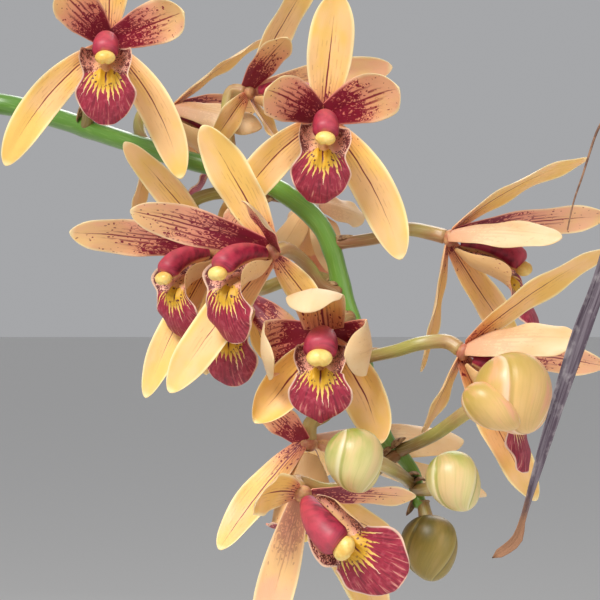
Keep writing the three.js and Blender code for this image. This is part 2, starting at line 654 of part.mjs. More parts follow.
function potSolid() {
  const shoulder = POT_HEIGHT - RIM_HEIGHT;
  const clay = turned(
    [
      [0, 0],
      [POT_FOOT_RADIUS, 0],
      [POT_TOP_RADIUS, shoulder],
      [POT_TOP_RADIUS + RIM_PROUD - 1, shoulder],
      [POT_TOP_RADIUS + RIM_PROUD, POT_HEIGHT - 2],
      [POT_TOP_RADIUS + RIM_PROUD - 2, POT_HEIGHT],
      [innerRadius(POT_HEIGHT), POT_HEIGHT],
      [innerRadius(POT_FLOOR), POT_FLOOR],
      [0, POT_FLOOR],
    ],
    POT_SIDES,
  );
  let pot = clay;
  for (let i = 0; i < DRAIN_HOLES; i++) {
    const angle = (2 * Math.PI * i) / DRAIN_HOLES;
    const hole = new THREE.CylinderGeometry(DRAIN_RADIUS, DRAIN_RADIUS, 3 * POT_FLOOR, 12);
    hole.rotateX(Math.PI / 2);
    hole.translate(DRAIN_RING * Math.cos(angle), DRAIN_RING * Math.sin(angle), POT_FLOOR / 2);
    pot = pot.subtract(solidOf(hole));
  }
  return pot;
}

// The three growths: a pseudobulb and its leaves. A leaf's heading is the way it leans,
// as an angle from +X, and rise is how steeply it starts. It arches down by droop.
const BULB_SINK = 18;
const GROWTHS = [
  {
    name: 'front', at: [-24, -20], radius: 17, height: 58,
    leaves: [
      { heading: 238, rise: 70, length: 330, width: 17, droop: 112 },
      { heading: 202, rise: 62, length: 350, width: 18, droop: 100 },
      { heading: 286, rise: 74, length: 300, width: 16, droop: 120 },
      { heading: 262, rise: 82, length: 360, width: 17, droop: 92 },
      { heading: 318, rise: 56, length: 210, width: 15, droop: 84 },
    ],
  },
  {
    name: 'back', at: [4, 32], radius: 16, height: 54,
    leaves: [
      { heading: 62, rise: 66, length: 310, width: 17, droop: 110 },
      { heading: 96, rise: 74, length: 360, width: 18, droop: 96 },
      { heading: 128, rise: 60, length: 320, width: 16, droop: 92 },
      { heading: 30, rise: 58, length: 190, width: 15, droop: 90 },
    ],
  },
  {
    name: 'left', at: [-36, 18], radius: 15, height: 50,
    leaves: [
      { heading: 178, rise: 68, length: 340, width: 17, droop: 104 },
      { heading: 152, rise: 76, length: 370, width: 18, droop: 90 },
      { heading: 166, rise: 54, length: 250, width: 15, droop: 84 },
    ],
  },
];
// A leaf's root, inside its pseudobulb, is this far out from the middle.
const LEAF_ROOT_OUT = 8;
const LEAF_FORM = { cup: 26, foot: 0.62, widest: 0.45, blunt: 3, shoulder: 0.9 };

function bulbShape({ at, radius, height }, extra = 0) {
  const bulb = new THREE.SphereGeometry(1, 12, 8).rotateX(Math.PI / 2);
  bulb.scale(radius + extra, radius * 0.86 + extra, height / 2 + extra);
  return bulb.translate(at[0], at[1], BARK_TOP + height / 2 - BULB_SINK);
}

function leafSpec({ at, height }, { heading, rise, droop, ...leaf }) {
  const lean = new THREE.Vector3(Math.cos(heading * DEG), Math.sin(heading * DEG), 0);
  const up = new THREE.Vector3(0, 0, 1);
  const [flat, steep] = [Math.cos(rise * DEG), Math.sin(rise * DEG)];
  const direction = lean.clone().multiplyScalar(flat).addScaledVector(up, steep);
  const normal = lean.clone().multiplyScalar(-steep).addScaledVector(up, flat);
  const middle = new THREE.Vector3(at[0], at[1], BARK_TOP + height / 2 - BULB_SINK);
  const origin = middle.addScaledVector(lean, LEAF_ROOT_OUT);
  return { ...LEAF_FORM, ...leaf, origin, direction, normal, curl: -droop };
}

for (const growth of GROWTHS) {
  const leaves = growth.leaves.map((leaf) => blade(leafSpec(growth, leaf), LEAF_ROWS, 2, LEAF_THICKNESS));
  addNode(`growth_${growth.name}`, 'leaf', joined([bulbShape(growth), ...leaves]));
}

// The old withered leaf arches over the spray and hangs down dry at its right.
const WITHERED_LINE = [
  [38, -26, 98], [42, -28, 200], [64, -30, 320], [110, -33, 430], [180, -36, 505], [250, -38, 532],
  [305, -40, 520], [338, -42, 480], [342, -44, 440],
];
const WITHERED_END = [
  [76, 8.7, -45], [69.5, -10, -46], [63, -30, -46], [58.2, -46, -45], [55.6, -55, -44],
  [54, -60, -44], [48, -64.5, -44],
];
// Its half width, evenly spaced along those places.
const WITHERED_HALVES = [2.6, 3.4, 4.2, 4.6, 4.8, 4.6, 4, 3.2, 2.6, 2.2, 2, 1.7, 1.1, 0.9, 1.6, 1.2];
const WITHERED_CUP = 40;
const WITHERED_ROWS = 28;

function witheredLeaf() {
  const curve = curveThrough([
    ...WITHERED_LINE.map((p) => new THREE.Vector3(...p)),
    ...WITHERED_END.map(seen),
  ]);
  const viewer = new THREE.Vector3(0, -1, 0);
  const sheet = sheetOf(WITHERED_ROWS, 2, (t, s) => {
    const along = curve.getTangent(t);
    const side = new THREE.Vector3().crossVectors(along, viewer).normalize();
    const out = new THREE.Vector3().crossVectors(side, along).normalize();
    const { across, up, angle } = bentSection(smoothValue(WITHERED_HALVES, t), WITHERED_CUP, s);
    const point = curve.getPoint(t).addScaledVector(side, across).addScaledVector(out, up);
    return { point, out: turnedFace(out, side, angle) };
  });
  return solidOf(thickened(sheet, TEPAL_THICKNESS));
}
addNode('withered_leaf', 'withered', witheredLeaf());

// The bark: a filling with loose chips sunk in its top, and a plain hole for each
// pseudobulb, for the flower stem and for the withered leaf.
function barkSolid() {
  const bottom = POT_FLOOR + SEAT_GAP;
  const wallGap = SEAT_GAP + 0.2;
  let bark = turned(
    [
      [0, bottom],
      [innerRadius(bottom) - wallGap, bottom],
      [innerRadius(BARK_TOP - 3) - wallGap, BARK_TOP - 3],
      [innerRadius(BARK_TOP - 3) - 6, BARK_TOP],
      [0, BARK_TOP + 1],
    ],
    POT_SIDES,
  );
  const random = seededRandom(BARK_SEED);
  const reach = innerRadius(BARK_TOP) - 10;
  for (let i = 0; i < BARK_CHIPS; i++) {
    const angle = i * 2.4;
    const radius = reach * Math.sqrt((i + 0.5) / BARK_CHIPS);
    const chip = new THREE.BoxGeometry(9 + 6 * random(), 6 + 4 * random(), 3.5 + 2 * random());
    chip.rotateX((random() - 0.5) * 0.7).rotateY((random() - 0.5) * 0.7).rotateZ(random() * 6);
    chip.translate(radius * Math.cos(angle), radius * Math.sin(angle), BARK_TOP + 0.4);
    bark = bark.add(solidOf(chip));
  }
  for (const growth of GROWTHS) bark = bark.subtract(solidOf(bulbShape(growth, SEAT_GAP)));
  const foot = STEM_RISE[0];
  const dry = WITHERED_LINE[0];
  for (const [[x, y, z], radius] of [[foot, 4.1], [dry, 4]]) {
    const hole = new THREE.CylinderGeometry(radius, radius, 80, 12).rotateX(Math.PI / 2);
    bark = bark.subtract(solidOf(hole.translate(x, y, z + 40 - SEAT_GAP)));
  }
  return largest(bark).asOriginal().simplify(SLIVER);
}
addNode('bark', 'bark', barkSolid());
addNode('pot', 'clay', potSolid());

export default orchid;
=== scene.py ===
"""A potted cymbidium orchid with one arching, hanging spray of golden blooms.

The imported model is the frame. Every node that grew, the pot and the withered leaf are
replaced by finer pieces of the same form, and the bark keeps its node under loose chips.
Sizes are millimetres until a piece is finished, and metres from then on.
"""

import json
import logging
import math
import random
from dataclasses import dataclass, field, replace
from enum import Enum
from typing import Callable, Iterable, NamedTuple, Sequence

import bmesh
import bpy
from mathutils import Matrix, Quaternion, Vector

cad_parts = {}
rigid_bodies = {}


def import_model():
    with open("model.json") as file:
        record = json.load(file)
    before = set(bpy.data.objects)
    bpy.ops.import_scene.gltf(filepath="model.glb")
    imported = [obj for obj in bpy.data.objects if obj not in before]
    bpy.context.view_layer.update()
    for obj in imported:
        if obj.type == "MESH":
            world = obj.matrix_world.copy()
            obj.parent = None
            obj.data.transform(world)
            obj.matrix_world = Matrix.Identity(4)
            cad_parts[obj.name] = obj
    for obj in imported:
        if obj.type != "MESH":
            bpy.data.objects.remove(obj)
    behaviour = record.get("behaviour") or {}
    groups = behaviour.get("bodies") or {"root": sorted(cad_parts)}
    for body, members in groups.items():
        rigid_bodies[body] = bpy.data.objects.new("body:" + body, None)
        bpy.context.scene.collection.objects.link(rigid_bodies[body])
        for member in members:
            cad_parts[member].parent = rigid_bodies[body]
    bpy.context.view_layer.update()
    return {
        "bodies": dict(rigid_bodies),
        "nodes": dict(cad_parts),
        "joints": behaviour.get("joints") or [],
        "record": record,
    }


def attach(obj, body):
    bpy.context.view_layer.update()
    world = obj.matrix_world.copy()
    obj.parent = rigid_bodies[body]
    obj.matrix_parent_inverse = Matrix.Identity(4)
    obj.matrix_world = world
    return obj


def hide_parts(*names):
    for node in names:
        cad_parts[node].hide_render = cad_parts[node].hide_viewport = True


log = logging.getLogger("orchid")

MM = 0.001
BODY = "root"

# The spray is laid out as a viewer in front of it sees it: places on it are [right, up,
# away] from its middle, right and up as they appear at the middle's distance.
SPRAY_MIDDLE = Vector((265.0, 0.0, 395.0))
VIEW_DISTANCE = 480.0

MERGE = 0.0005
BEND_STEPS = 48
UP = Vector((0.0, 0.0, 1.0))

Place = Sequence[float]
Socket = bpy.types.NodeSocket
Value = Socket | float
Colour = tuple[float, float, float]
# A surface's colour, roughness and normal, the last two where they vary.
Surface = tuple[object, Socket | None, Socket | None]


# Places, bends and curves


def seen(place: Place) -> Vector:
    """Turns a place given as the viewer sees it into the model's own.

    Args:
        place: [right, up, away] from the spray's middle.

    Returns:
        The place in the model's frame.
    """
    right, up, away = place
    spread = (VIEW_DISTANCE + away) / VIEW_DISTANCE
    return SPRAY_MIDDLE + Vector((right * spread, away, up * spread))


def clamp(value: float, low: float = 0.0, high: float = 1.0) -> float:
    """Keeps a value between low and high."""
    return min(max(value, low), high)


def ease(low: float, high: float, value: float) -> float:
    """Rises smoothly from 0 at low to 1 at high."""
    share = clamp((value - low) / (high - low))
    return share * share * (3 - 2 * share)


def smooth_value(values: Sequence[float], t: float) -> float:
    """Reads a smooth curve through evenly spaced values.

    Args:
        values: The values from t = 0 to t = 1.
        t: Where to read.

    Returns:
        The value at t.
    """
    last = len(values) - 1
    place = clamp(t) * last
    i = min(int(place), last - 1)
    u = place - i
    a, b, c, d = (values[min(max(i + k, 0), last)] for k in (-1, 0, 1, 2))
    return b + 0.5 * u * (c - a + u * (2 * a - 5 * b + 4 * c - d + u * (3 * (b - c) + d - a)))


class Curve:
    """A smooth curve through points, read by its length."""

    SAMPLES = 24

    def __init__(self, points: Sequence[Vector]) -> None:
        """Samples the curve between each two points.

        Args:
            points: The places that the curve runs through.
        """
        self.places: list[Vector] = [points[0].copy()]
        self.knots: list[float] = [0.0]
        ends = [2 * points[0] - points[1], *points, 2 * points[-1] - points[-2]]
        for i in range(len(points) - 1):
            self._segment(*ends[i : i + 4])
            self.knots.append(float(len(self.places) - 1))
        self.lengths = [0.0]
        for a, b in zip(self.places, self.places[1:]):
            self.lengths.append(self.lengths[-1] + (b - a).length)
        self.length = self.lengths[-1]
        self.knots = [self.lengths[int(k)] / self.length for k in self.knots]

    def _segment(self, p0: Vector, p1: Vector, p2: Vector, p3: Vector) -> None:
        """Adds the samples between p1 and p2, with the pull of p0 and p3."""
        d0, d1, d2 = (max(math.sqrt((b - a).length), 0.01) for a, b in ((p0, p1), (p1, p2), (p2, p3)))
        m1 = d1 * ((p1 - p0) / d0 - (p2 - p0) / (d0 + d1) + (p2 - p1) / d1)
        m2 = d1 * ((p2 - p1) / d1 - (p3 - p1) / (d1 + d2) + (p3 - p2) / d2)
        for k in range(1, self.SAMPLES + 1):
            u = k / self.SAMPLES
            cubic = 2 * p1 - 2 * p2 + m1 + m2
            square = 3 * p2 - 3 * p1 - 2 * m1 - m2
            self.places.append(p1 + u * (m1 + u * (square + u * cubic)))

    def at(self, t: float) -> Vector:
        """Gives the place at t, from 0 to 1 along the length."""
        goal = clamp(t) * self.length
        low, high = 0, len(self.lengths) - 1
        while high - low > 1:
            middle = (low + high) // 2
            low, high = (middle, high) if self.lengths[middle] <= goal else (low, middle)
        span = max(self.lengths[high] - self.lengths[low], 1e-9)
        return self.places[low].lerp(self.places[high], (goal - self.lengths[low]) / span)

    def tangent(self, t: float) -> Vector:
        """Gives the direction at t."""
        return (self.at(t + 0.004) - self.at(t - 0.004)).normalized()

    def knot_share(self, t: float) -> float:
        """Gives how far t lies along the curve's own points, from 0 to 1."""
        for i in range(len(self.knots) - 1):
            if t <= self.knots[i + 1]:
                span = self.knots[i + 1] - self.knots[i]
                return (i + (t - self.knots[i]) / span) / (len(self.knots) - 1)
        return 1.0


class Frame(NamedTuple):
    """A place on a midrib, with the ways along it, out of its inner face and across."""

    point: Vector
    along: Vector
    out: Vector
    side: Vector

    def on_blade(self, across: float, up: float, turned: float, depth: float) -> Vector:
        """Gives a point of a blade's section here.

        Args:
            across: How far to the side.
            up: How far out of the inner face.
            turned: How far the blade's skin is turned there, in radians.
            depth: How far the point stands out of the blade's middle, through its skin.

        Returns:
            The point.
        """
        face = self.out * math.cos(turned) - self.side * math.sin(turned)
        return self.point + self.side * across + self.out * up + face * depth


@dataclass(frozen=True)
class Bend:
    """How a blade bends, in degrees, and its outline.

    curl bends it towards its inner face, sweep sideways, and cup rounds its section.
    """

    curl: float = 0.0
    sweep: float = 0.0
    cup: float = 16.0
    foot: float = 0.34
    widest: float = 0.52
    blunt: float = 2.6
    shoulder: float = 0.62

    def outline(self, t: float) -> float:
        """Gives the width at t as a share of the greatest."""
        if t < self.widest:
            return self.foot + (1 - self.foot) * math.sin(math.pi / 2 * t / self.widest)
        past = (t - self.widest) / (1 - self.widest)
        return max(0.0, 1 - past**self.blunt) ** self.shoulder

    def midrib(self, origin: Vector, direction: Vector, normal: Vector, length: float) -> list[Frame]:
        """Bends a midrib from its origin.

        Args:
            origin: Where it starts.
            direction: The way it starts.
            normal: The way its inner face looks at the start.
            length: Its length.

        Returns:
            The frames along it.
        """
        along, out, point = direction.normalized(), normal.normalized(), origin.copy()
        frames = []
        for _ in range(BEND_STEPS + 1):
            side = along.cross(out)
            frames.append(Frame(point.copy(), along.copy(), out.copy(), side))
            point += along * (length / BEND_STEPS)
            curl = Quaternion(side, math.radians(self.curl) / BEND_STEPS)
            along.rotate(curl)
            out.rotate(curl)
            along.rotate(Quaternion(out, -math.radians(self.sweep) / BEND_STEPS))
        return frames

    def reaching(self, root: Vector, tip: Vector, face: Vector) -> list[Frame]:
        """Turns the bent midrib so that it runs from root to tip.

        Args:
            root: Its start.
            tip: Its end.
            face: The way its inner face looks halfway, as far as that allows.

        Returns:
            The frames along it.
        """
        direction, normal = Vector((0, 0, 1)), Vector((0, -1, 0))
        trial = self.midrib(Vector(), direction, normal, 1.0)
        chord, span = trial[-1].point, tip - root
        middle = trial[BEND_STEPS // 2].out
        turn = basis(span, face) @ basis(chord, middle).inverted()
        return self.midrib(root, turn @ direction, turn @ normal, span.length / chord.length)


def basis(main: Vector, hint: Vector) -> Matrix:
    """Makes axes whose X is main and whose Z leans to hint."""
    x = main.normalized()
    z = (hint - x * hint.dot(x)).normalized()
    return Matrix((x, z.cross(x), z)).transposed()


def frame_at(frames: Sequence[Frame], t: float) -> Frame:
    """Reads a frame at t between the ones along a midrib."""
    place = clamp(t) * (len(frames) - 1)
    i = min(int(place), len(frames) - 2)
    a, b, share = frames[i], frames[i + 1], place - i
    ways = [a[k].lerp(b[k], share).normalized() for k in (1, 2, 3)]
    return Frame(a.point.lerp(b.point, share), *ways)


def bent_section(half: float, turn: float, s: float) -> tuple[float, float, float]:
    """Places s on a strip's section that is bent round through turn degrees each way.

    Args:
        half: Half the strip's width.
        turn: How far it is bent, in degrees.
        s: Where across it, from -1 to 1.

    Returns:
        The distance across, the distance up and the angle turned.
    """
    full = math.radians(turn)
    angle = full * s
    if abs(full) < 0.002:
        return half * s, 0.0, angle
    return half * math.sin(angle) / full, half * (1 - math.cos(angle)) / full, angle


# Meshes


class Spot(NamedTuple):
    """A point of a skin with its place (0 to 1 across and along), span (mm) and side."""

    point: Vector
    place: tuple[float, float]
    span: tuple[float, float]
    side: float = 1.0


class Skin:
    """Collects closed skins in one mesh, with what their finishes read."""

    def __init__(self) -> None:
        """Starts an empty mesh with its layers."""
        self.bm = bmesh.new()
        self.place = self.bm.loops.layers.uv.new("Place")
        self.span = self.bm.loops.layers.uv.new("Span")
        self.traits = self.bm.verts.layers.float_vector.new("traits")

    def wrap(
        self,
        rows: int,
        around: int,
        spot_at: Callable[[float, float], Spot],
        seed: float = 0.0,
        marks: float = 1.0,
        finish: int = 0,
    ) -> list[bmesh.types.BMVert]:
        """Wraps a grid round into one closed skin.

        Args:
            rows: Faces along it.
            around: Faces round it.
            spot_at: Gives the spot at t along (0 to 1) and an angle round, in radians.
            seed: A number of its own, which moves its patterns.
            marks: How strongly it is marked.
            finish: Which of the piece's finishes it has.

        Returns:
            The skin's vertices.
        """
        made = bmesh.ops.create_grid(self.bm, x_segments=around, y_segments=rows, size=0.5)["verts"]
        spots = {v: spot_at(clamp(v.co.y + 0.5), math.tau * (v.co.x + 0.5)) for v in made}
        faces = {face for vert in made for face in vert.link_faces}
        for face in faces:
            face.smooth = True
            face.material_index = finish
            for loop in face.loops:
                loop[self.place].uv = spots[loop.vert].place
                loop[self.span].uv = spots[loop.vert].span
        for vert, spot in spots.items():
            vert.co = spot.point
            vert[self.traits] = Vector((seed, marks, spot.side))
        bmesh.ops.remove_doubles(self.bm, verts=made, dist=MERGE)
        bmesh.ops.recalc_face_normals(self.bm, faces=[face for face in faces if face.is_valid])
        return [vert for vert in made if vert.is_valid]

    def tube(
        self,
        curve: Curve,
        radius_at: Callable[[float, float], float],
        rows: int,
        around: int,
        hint: Vector = UP,
        **wrapped: float,
    ) -> None:
        """Wraps a tube round a curve, closed at both ends.

        Args:
            curve: Its middle line.
            radius_at: Its radius at t along and an angle round.
            rows: Faces along it.
            around: Faces round it.
            hint: The way that angle 0 leans.
            wrapped: What wrap takes besides.
        """
        frames = []
        normal = hint
        for i in range(rows + 1):
            along = curve.tangent(i / rows)
            normal = (normal - along * normal.dot(along)).normalized()
            frames.append((curve.at(i / rows), normal, along.cross(normal)))

        def spot_at(t: float, angle: float) -> Spot:
            """Places a spot of the tube."""
            row = round(t * rows)
            point, up, side = frames[row]
            radius = 0.0 if row in (0, rows) else radius_at(t, angle)
            out = up * math.cos(angle) + side * math.sin(angle)
            return Spot(
                point + out * radius,
                (angle / math.tau, t),
                (angle * max(radius, 0.5), t * curve.length),
            )

        self.wrap(rows, around, spot_at, **wrapped)

    def sphere(
        self, matrix: Matrix, segments: int = 24, finish: int = 0, seed: float = 0.0
    ) -> list[bmesh.types.BMVert]:
        """Adds a unit sphere set by a matrix.

        Args:
            matrix: Its size and place.
            segments: Faces round it.
            finish: Which of the piece's finishes it has.
            seed: A number of its own.

        Returns:
            The sphere's vertices.
        """

        def spot_at(t: float, angle: float) -> Spot:
            """Places a spot of the sphere."""
            rise = math.pi * (t - 0.5)
            ring = 0.0 if t in (0.0, 1.0) else math.cos(rise)
            local = Vector((ring * math.cos(angle), ring * math.sin(angle), math.sin(rise)))
            return Spot(matrix @ local, (angle / math.tau, t), (angle, t))

        return self.wrap(segments // 2, segments, spot_at, seed=seed, finish=finish)

    def piece(
        self,
        name: str,
        finishes: Sequence[bpy.types.Material],
        slot: str,
        nodes: Iterable[str] = (),
    ) -> bpy.types.Object:
        """Finishes the mesh as one piece of the model.

        Args:
            name: The piece's name.
            finishes: Its materials, in the order that the skins name them.
            slot: The material slot of the record that it belongs to. It is not used.
            nodes: The nodes that it stands for.

        Returns:
            The piece's object.
        """
        bmesh.ops.scale(self.bm, vec=(MM, MM, MM), verts=self.bm.verts)
        return placed(name, mesh_of(self.bm, name), finishes, nodes)


def mesh_of(bm: bmesh.types.BMesh, name: str) -> bpy.types.Mesh:
    """Turns a bmesh into a mesh of that name, and frees it."""
    mesh = bpy.data.meshes.new(name)
    bm.to_mesh(mesh)
    bm.free()
    return mesh


def placed(
    name: str,
    mesh: bpy.types.Mesh,
    finishes: Sequence[bpy.types.Material],
    nodes: Iterable[str] = (),
) -> bpy.types.Object:
    """Puts a finished mesh in the scene as a piece of the model.

    Args:
        name: The piece's name.
        mesh: Its mesh, in metres.
        finishes: Its materials.
        nodes: The nodes that it stands for.

    Returns:
        The piece's object.
    """
    for finish in finishes:
        mesh.materials.append(finish)
    piece = bpy.data.objects.new(name, mesh)
    bpy.context.scene.collection.objects.link(piece)
    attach(piece, BODY)
    if nodes:
        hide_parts(*nodes)
    log.info("%s: %d faces", name, len(mesh.polygons))
    return piece


# Shader building


def rgb(red: int, green: int, blue: int) -> Colour:
    """Turns a colour as a screen shows it (0 to 255) into a linear one."""
    shares = (red / 255, green / 255, blue / 255)
    return tuple(c / 12.92 if c <= 0.04045 else ((c + 0.055) / 1.055) ** 2.4 for c in shares)


class Graph:
    """Adds nodes to a node tree and joins them."""

    def __init__(self, tree: bpy.types.NodeTree) -> None:
        """Keeps the tree.

        Args:
            tree: The node tree to add to.
        """
        self.tree = tree

    def node(
        self, kind: str, inputs: dict[str | int, object] | None = None, **settings: object
    ) -> bpy.types.Node:
        """Adds a node.

        Args:
            kind: The node's type.
            inputs: Its inputs, each a value or a socket to join.
            settings: Its other settings.

        Returns:
            The node.
        """
        made = self.tree.nodes.new(kind)
        for key, setting in settings.items():
            setattr(made, key, setting)
        for key, value in (inputs or {}).items():
            self.feed(made.inputs[key], value)
        return made

    def feed(self, target: Socket, value: object) -> None:
        """Joins a socket to an input, or sets the input's value."""
        if isinstance(value, bpy.types.NodeSocket):
            self.tree.links.new(value, target)
        elif isinstance(value, tuple) and len(value) == 3 and target.type == "RGBA":
            target.default_value = (*value, 1.0)
        else:
            target.default_value = value

    def math(self, operation: str, *values: Value, clamped: bool = False) -> Socket:
        """Does sums on values, such as ADD or MULTIPLY."""
        node = self.node("ShaderNodeMath", operation=operation, use_clamp=clamped)
        for i, value in enumerate(values):
            self.feed(node.inputs[i], value)
        return node.outputs[0]

    def mul(self, *values: Value) -> Socket:
        """Multiplies any number of values."""
        whole = values[0]
        for value in values[1:]:
            whole = self.math("MULTIPLY", whole, value)
        return whole

    def most(self, *values: Value) -> Socket:
        """Takes the largest of any number of values."""
        whole = values[0]
        for value in values[1:]:
            whole = self.math("MAXIMUM", whole, value)
        return whole

    def rise(self, value: Value, low: Value, high: Value) -> Socket:
        """Rises smoothly from 0 to 1 as value goes from low to high, or falls if low is above high."""
        node = self.node("ShaderNodeMapRange", interpolation_type="SMOOTHSTEP")
        for key, given in (("Value", value), ("From Min", low), ("From Max", high)):
            self.feed(node.inputs[key], given)
        return node.outputs[0]

    def mix(self, share: Value, first: object, second: object, blend: str = "MIX") -> Socket:
        """Mixes two colours.

        Args:
            share: How much of the second.
            first: A colour or a socket.
            second: A colour or a socket.
            blend: How they blend.

        Returns:
            The mixed colour.
        """
        node = self.node("ShaderNodeMix", data_type="RGBA", blend_type=blend)
        self.feed(node.inputs[0], share)
        self.feed(node.inputs[6], first)
        self.feed(node.inputs[7], second)
        return node.outputs[2]

    def parts(self, vector: Socket) -> tuple[Socket, Socket, Socket]:
        """Splits a vector into its three parts."""
        outputs = self.node("ShaderNodeSeparateXYZ", {0: vector}).outputs
        return outputs[0], outputs[1], outputs[2]

    def vector(self, x: Value, y: Value, z: Value = 0.0) -> Socket:
        """Joins three values into a vector."""
        return self.node("ShaderNodeCombineXYZ", {0: x, 1: y, 2: z}).outputs[0]

    def noise(self, vector: Socket, scale: float, detail: float = 2.0, rough: float = 0.5) -> Socket:
        """Gives cloudy noise around 0.5."""
        inputs = {"Vector": vector, "Scale": scale, "Detail": detail, "Roughness": rough}
        return self.node("ShaderNodeTexNoise", inputs).outputs[0]

    def cells(self, vector: Socket, scale: float, feature: str = "F1") -> Socket:
        """Gives the distance to the middle or the edge of scattered cells."""
        inputs = {"Vector": vector, "Scale": scale}
        return self.node("ShaderNodeTexVoronoi", inputs, feature=feature).outputs["Distance"]

    def uv(self, name: str) -> Socket:
        """Reads one of the piece's own maps."""
        return self.node("ShaderNodeUVMap", uv_map=name).outputs[0]

    def traits(self) -> tuple[Socket, Socket, Socket]:
        """Reads a skin's seed, marks and side."""
        node = self.node("ShaderNodeAttribute", attribute_type="GEOMETRY", attribute_name="traits")
        return self.parts(node.outputs["Vector"])

    def inside(self) -> Socket:
        """Reads the place on the object itself."""
        return self.node("ShaderNodeTexCoord").outputs["Object"]

    def bump(self, height: Socket, distance: float, strength: float = 1.0) -> Socket:
        """Turns a height into a normal, with distance in metres."""
        inputs = {"Height": height, "Distance": distance, "Strength": strength}
        return self.node("ShaderNodeBump", inputs).outputs[0]


@dataclass(frozen=True)
class Finish:
    """A surface's finish. Each kind adds its own colours and patterns."""

    name: str
    roughness: float = 0.5
    coat: float = 0.0
    subsurface: float = 0.0
    specular: float = 0.5

    def material(self) -> bpy.types.Material:
        """Builds the material.

        Returns:
            A new material with this finish.
        """
        made = bpy.data.materials.new(self.name)
        made.use_nodes = True
        tree = made.node_tree
        tree.nodes.clear()
        graph = Graph(tree)
        colour, rough, normal = self.surface(graph)
        shader = graph.node("ShaderNodeBsdfPrincipled")
        values = {
            "Base Color": colour,
            "Roughness": rough if rough is not None else self.roughness,
            "Coat Weight": self.coat,
            "Coat Roughness": 0.25,
            "Subsurface Weight": self.subsurface,
            "Subsurface Radius": (1.0, 0.5, 0.25),
            "Subsurface Scale": 1.2 * MM,
            "Specular IOR Level": self.specular,
        }
        for key, value in values.items():
            graph.feed(shader.inputs[key], value)
        if normal is not None:
            graph.feed(shader.inputs["Normal"], normal)
        output = graph.node("ShaderNodeOutputMaterial")
        graph.feed(output.inputs[0], shader.outputs[0])
        return made

    def surface(self, graph: Graph) -> Surface:
        """Gives the colour, roughness and normal.

        Args:
            graph: Where to add the nodes.

        Returns:
            The colour, and the roughness and normal where they vary.
        """
        raise NotImplementedError


class Effect(Enum):
    """The node groups that more than one finish uses."""

    VEINS = "veins"
    FLECKS = "flecks"


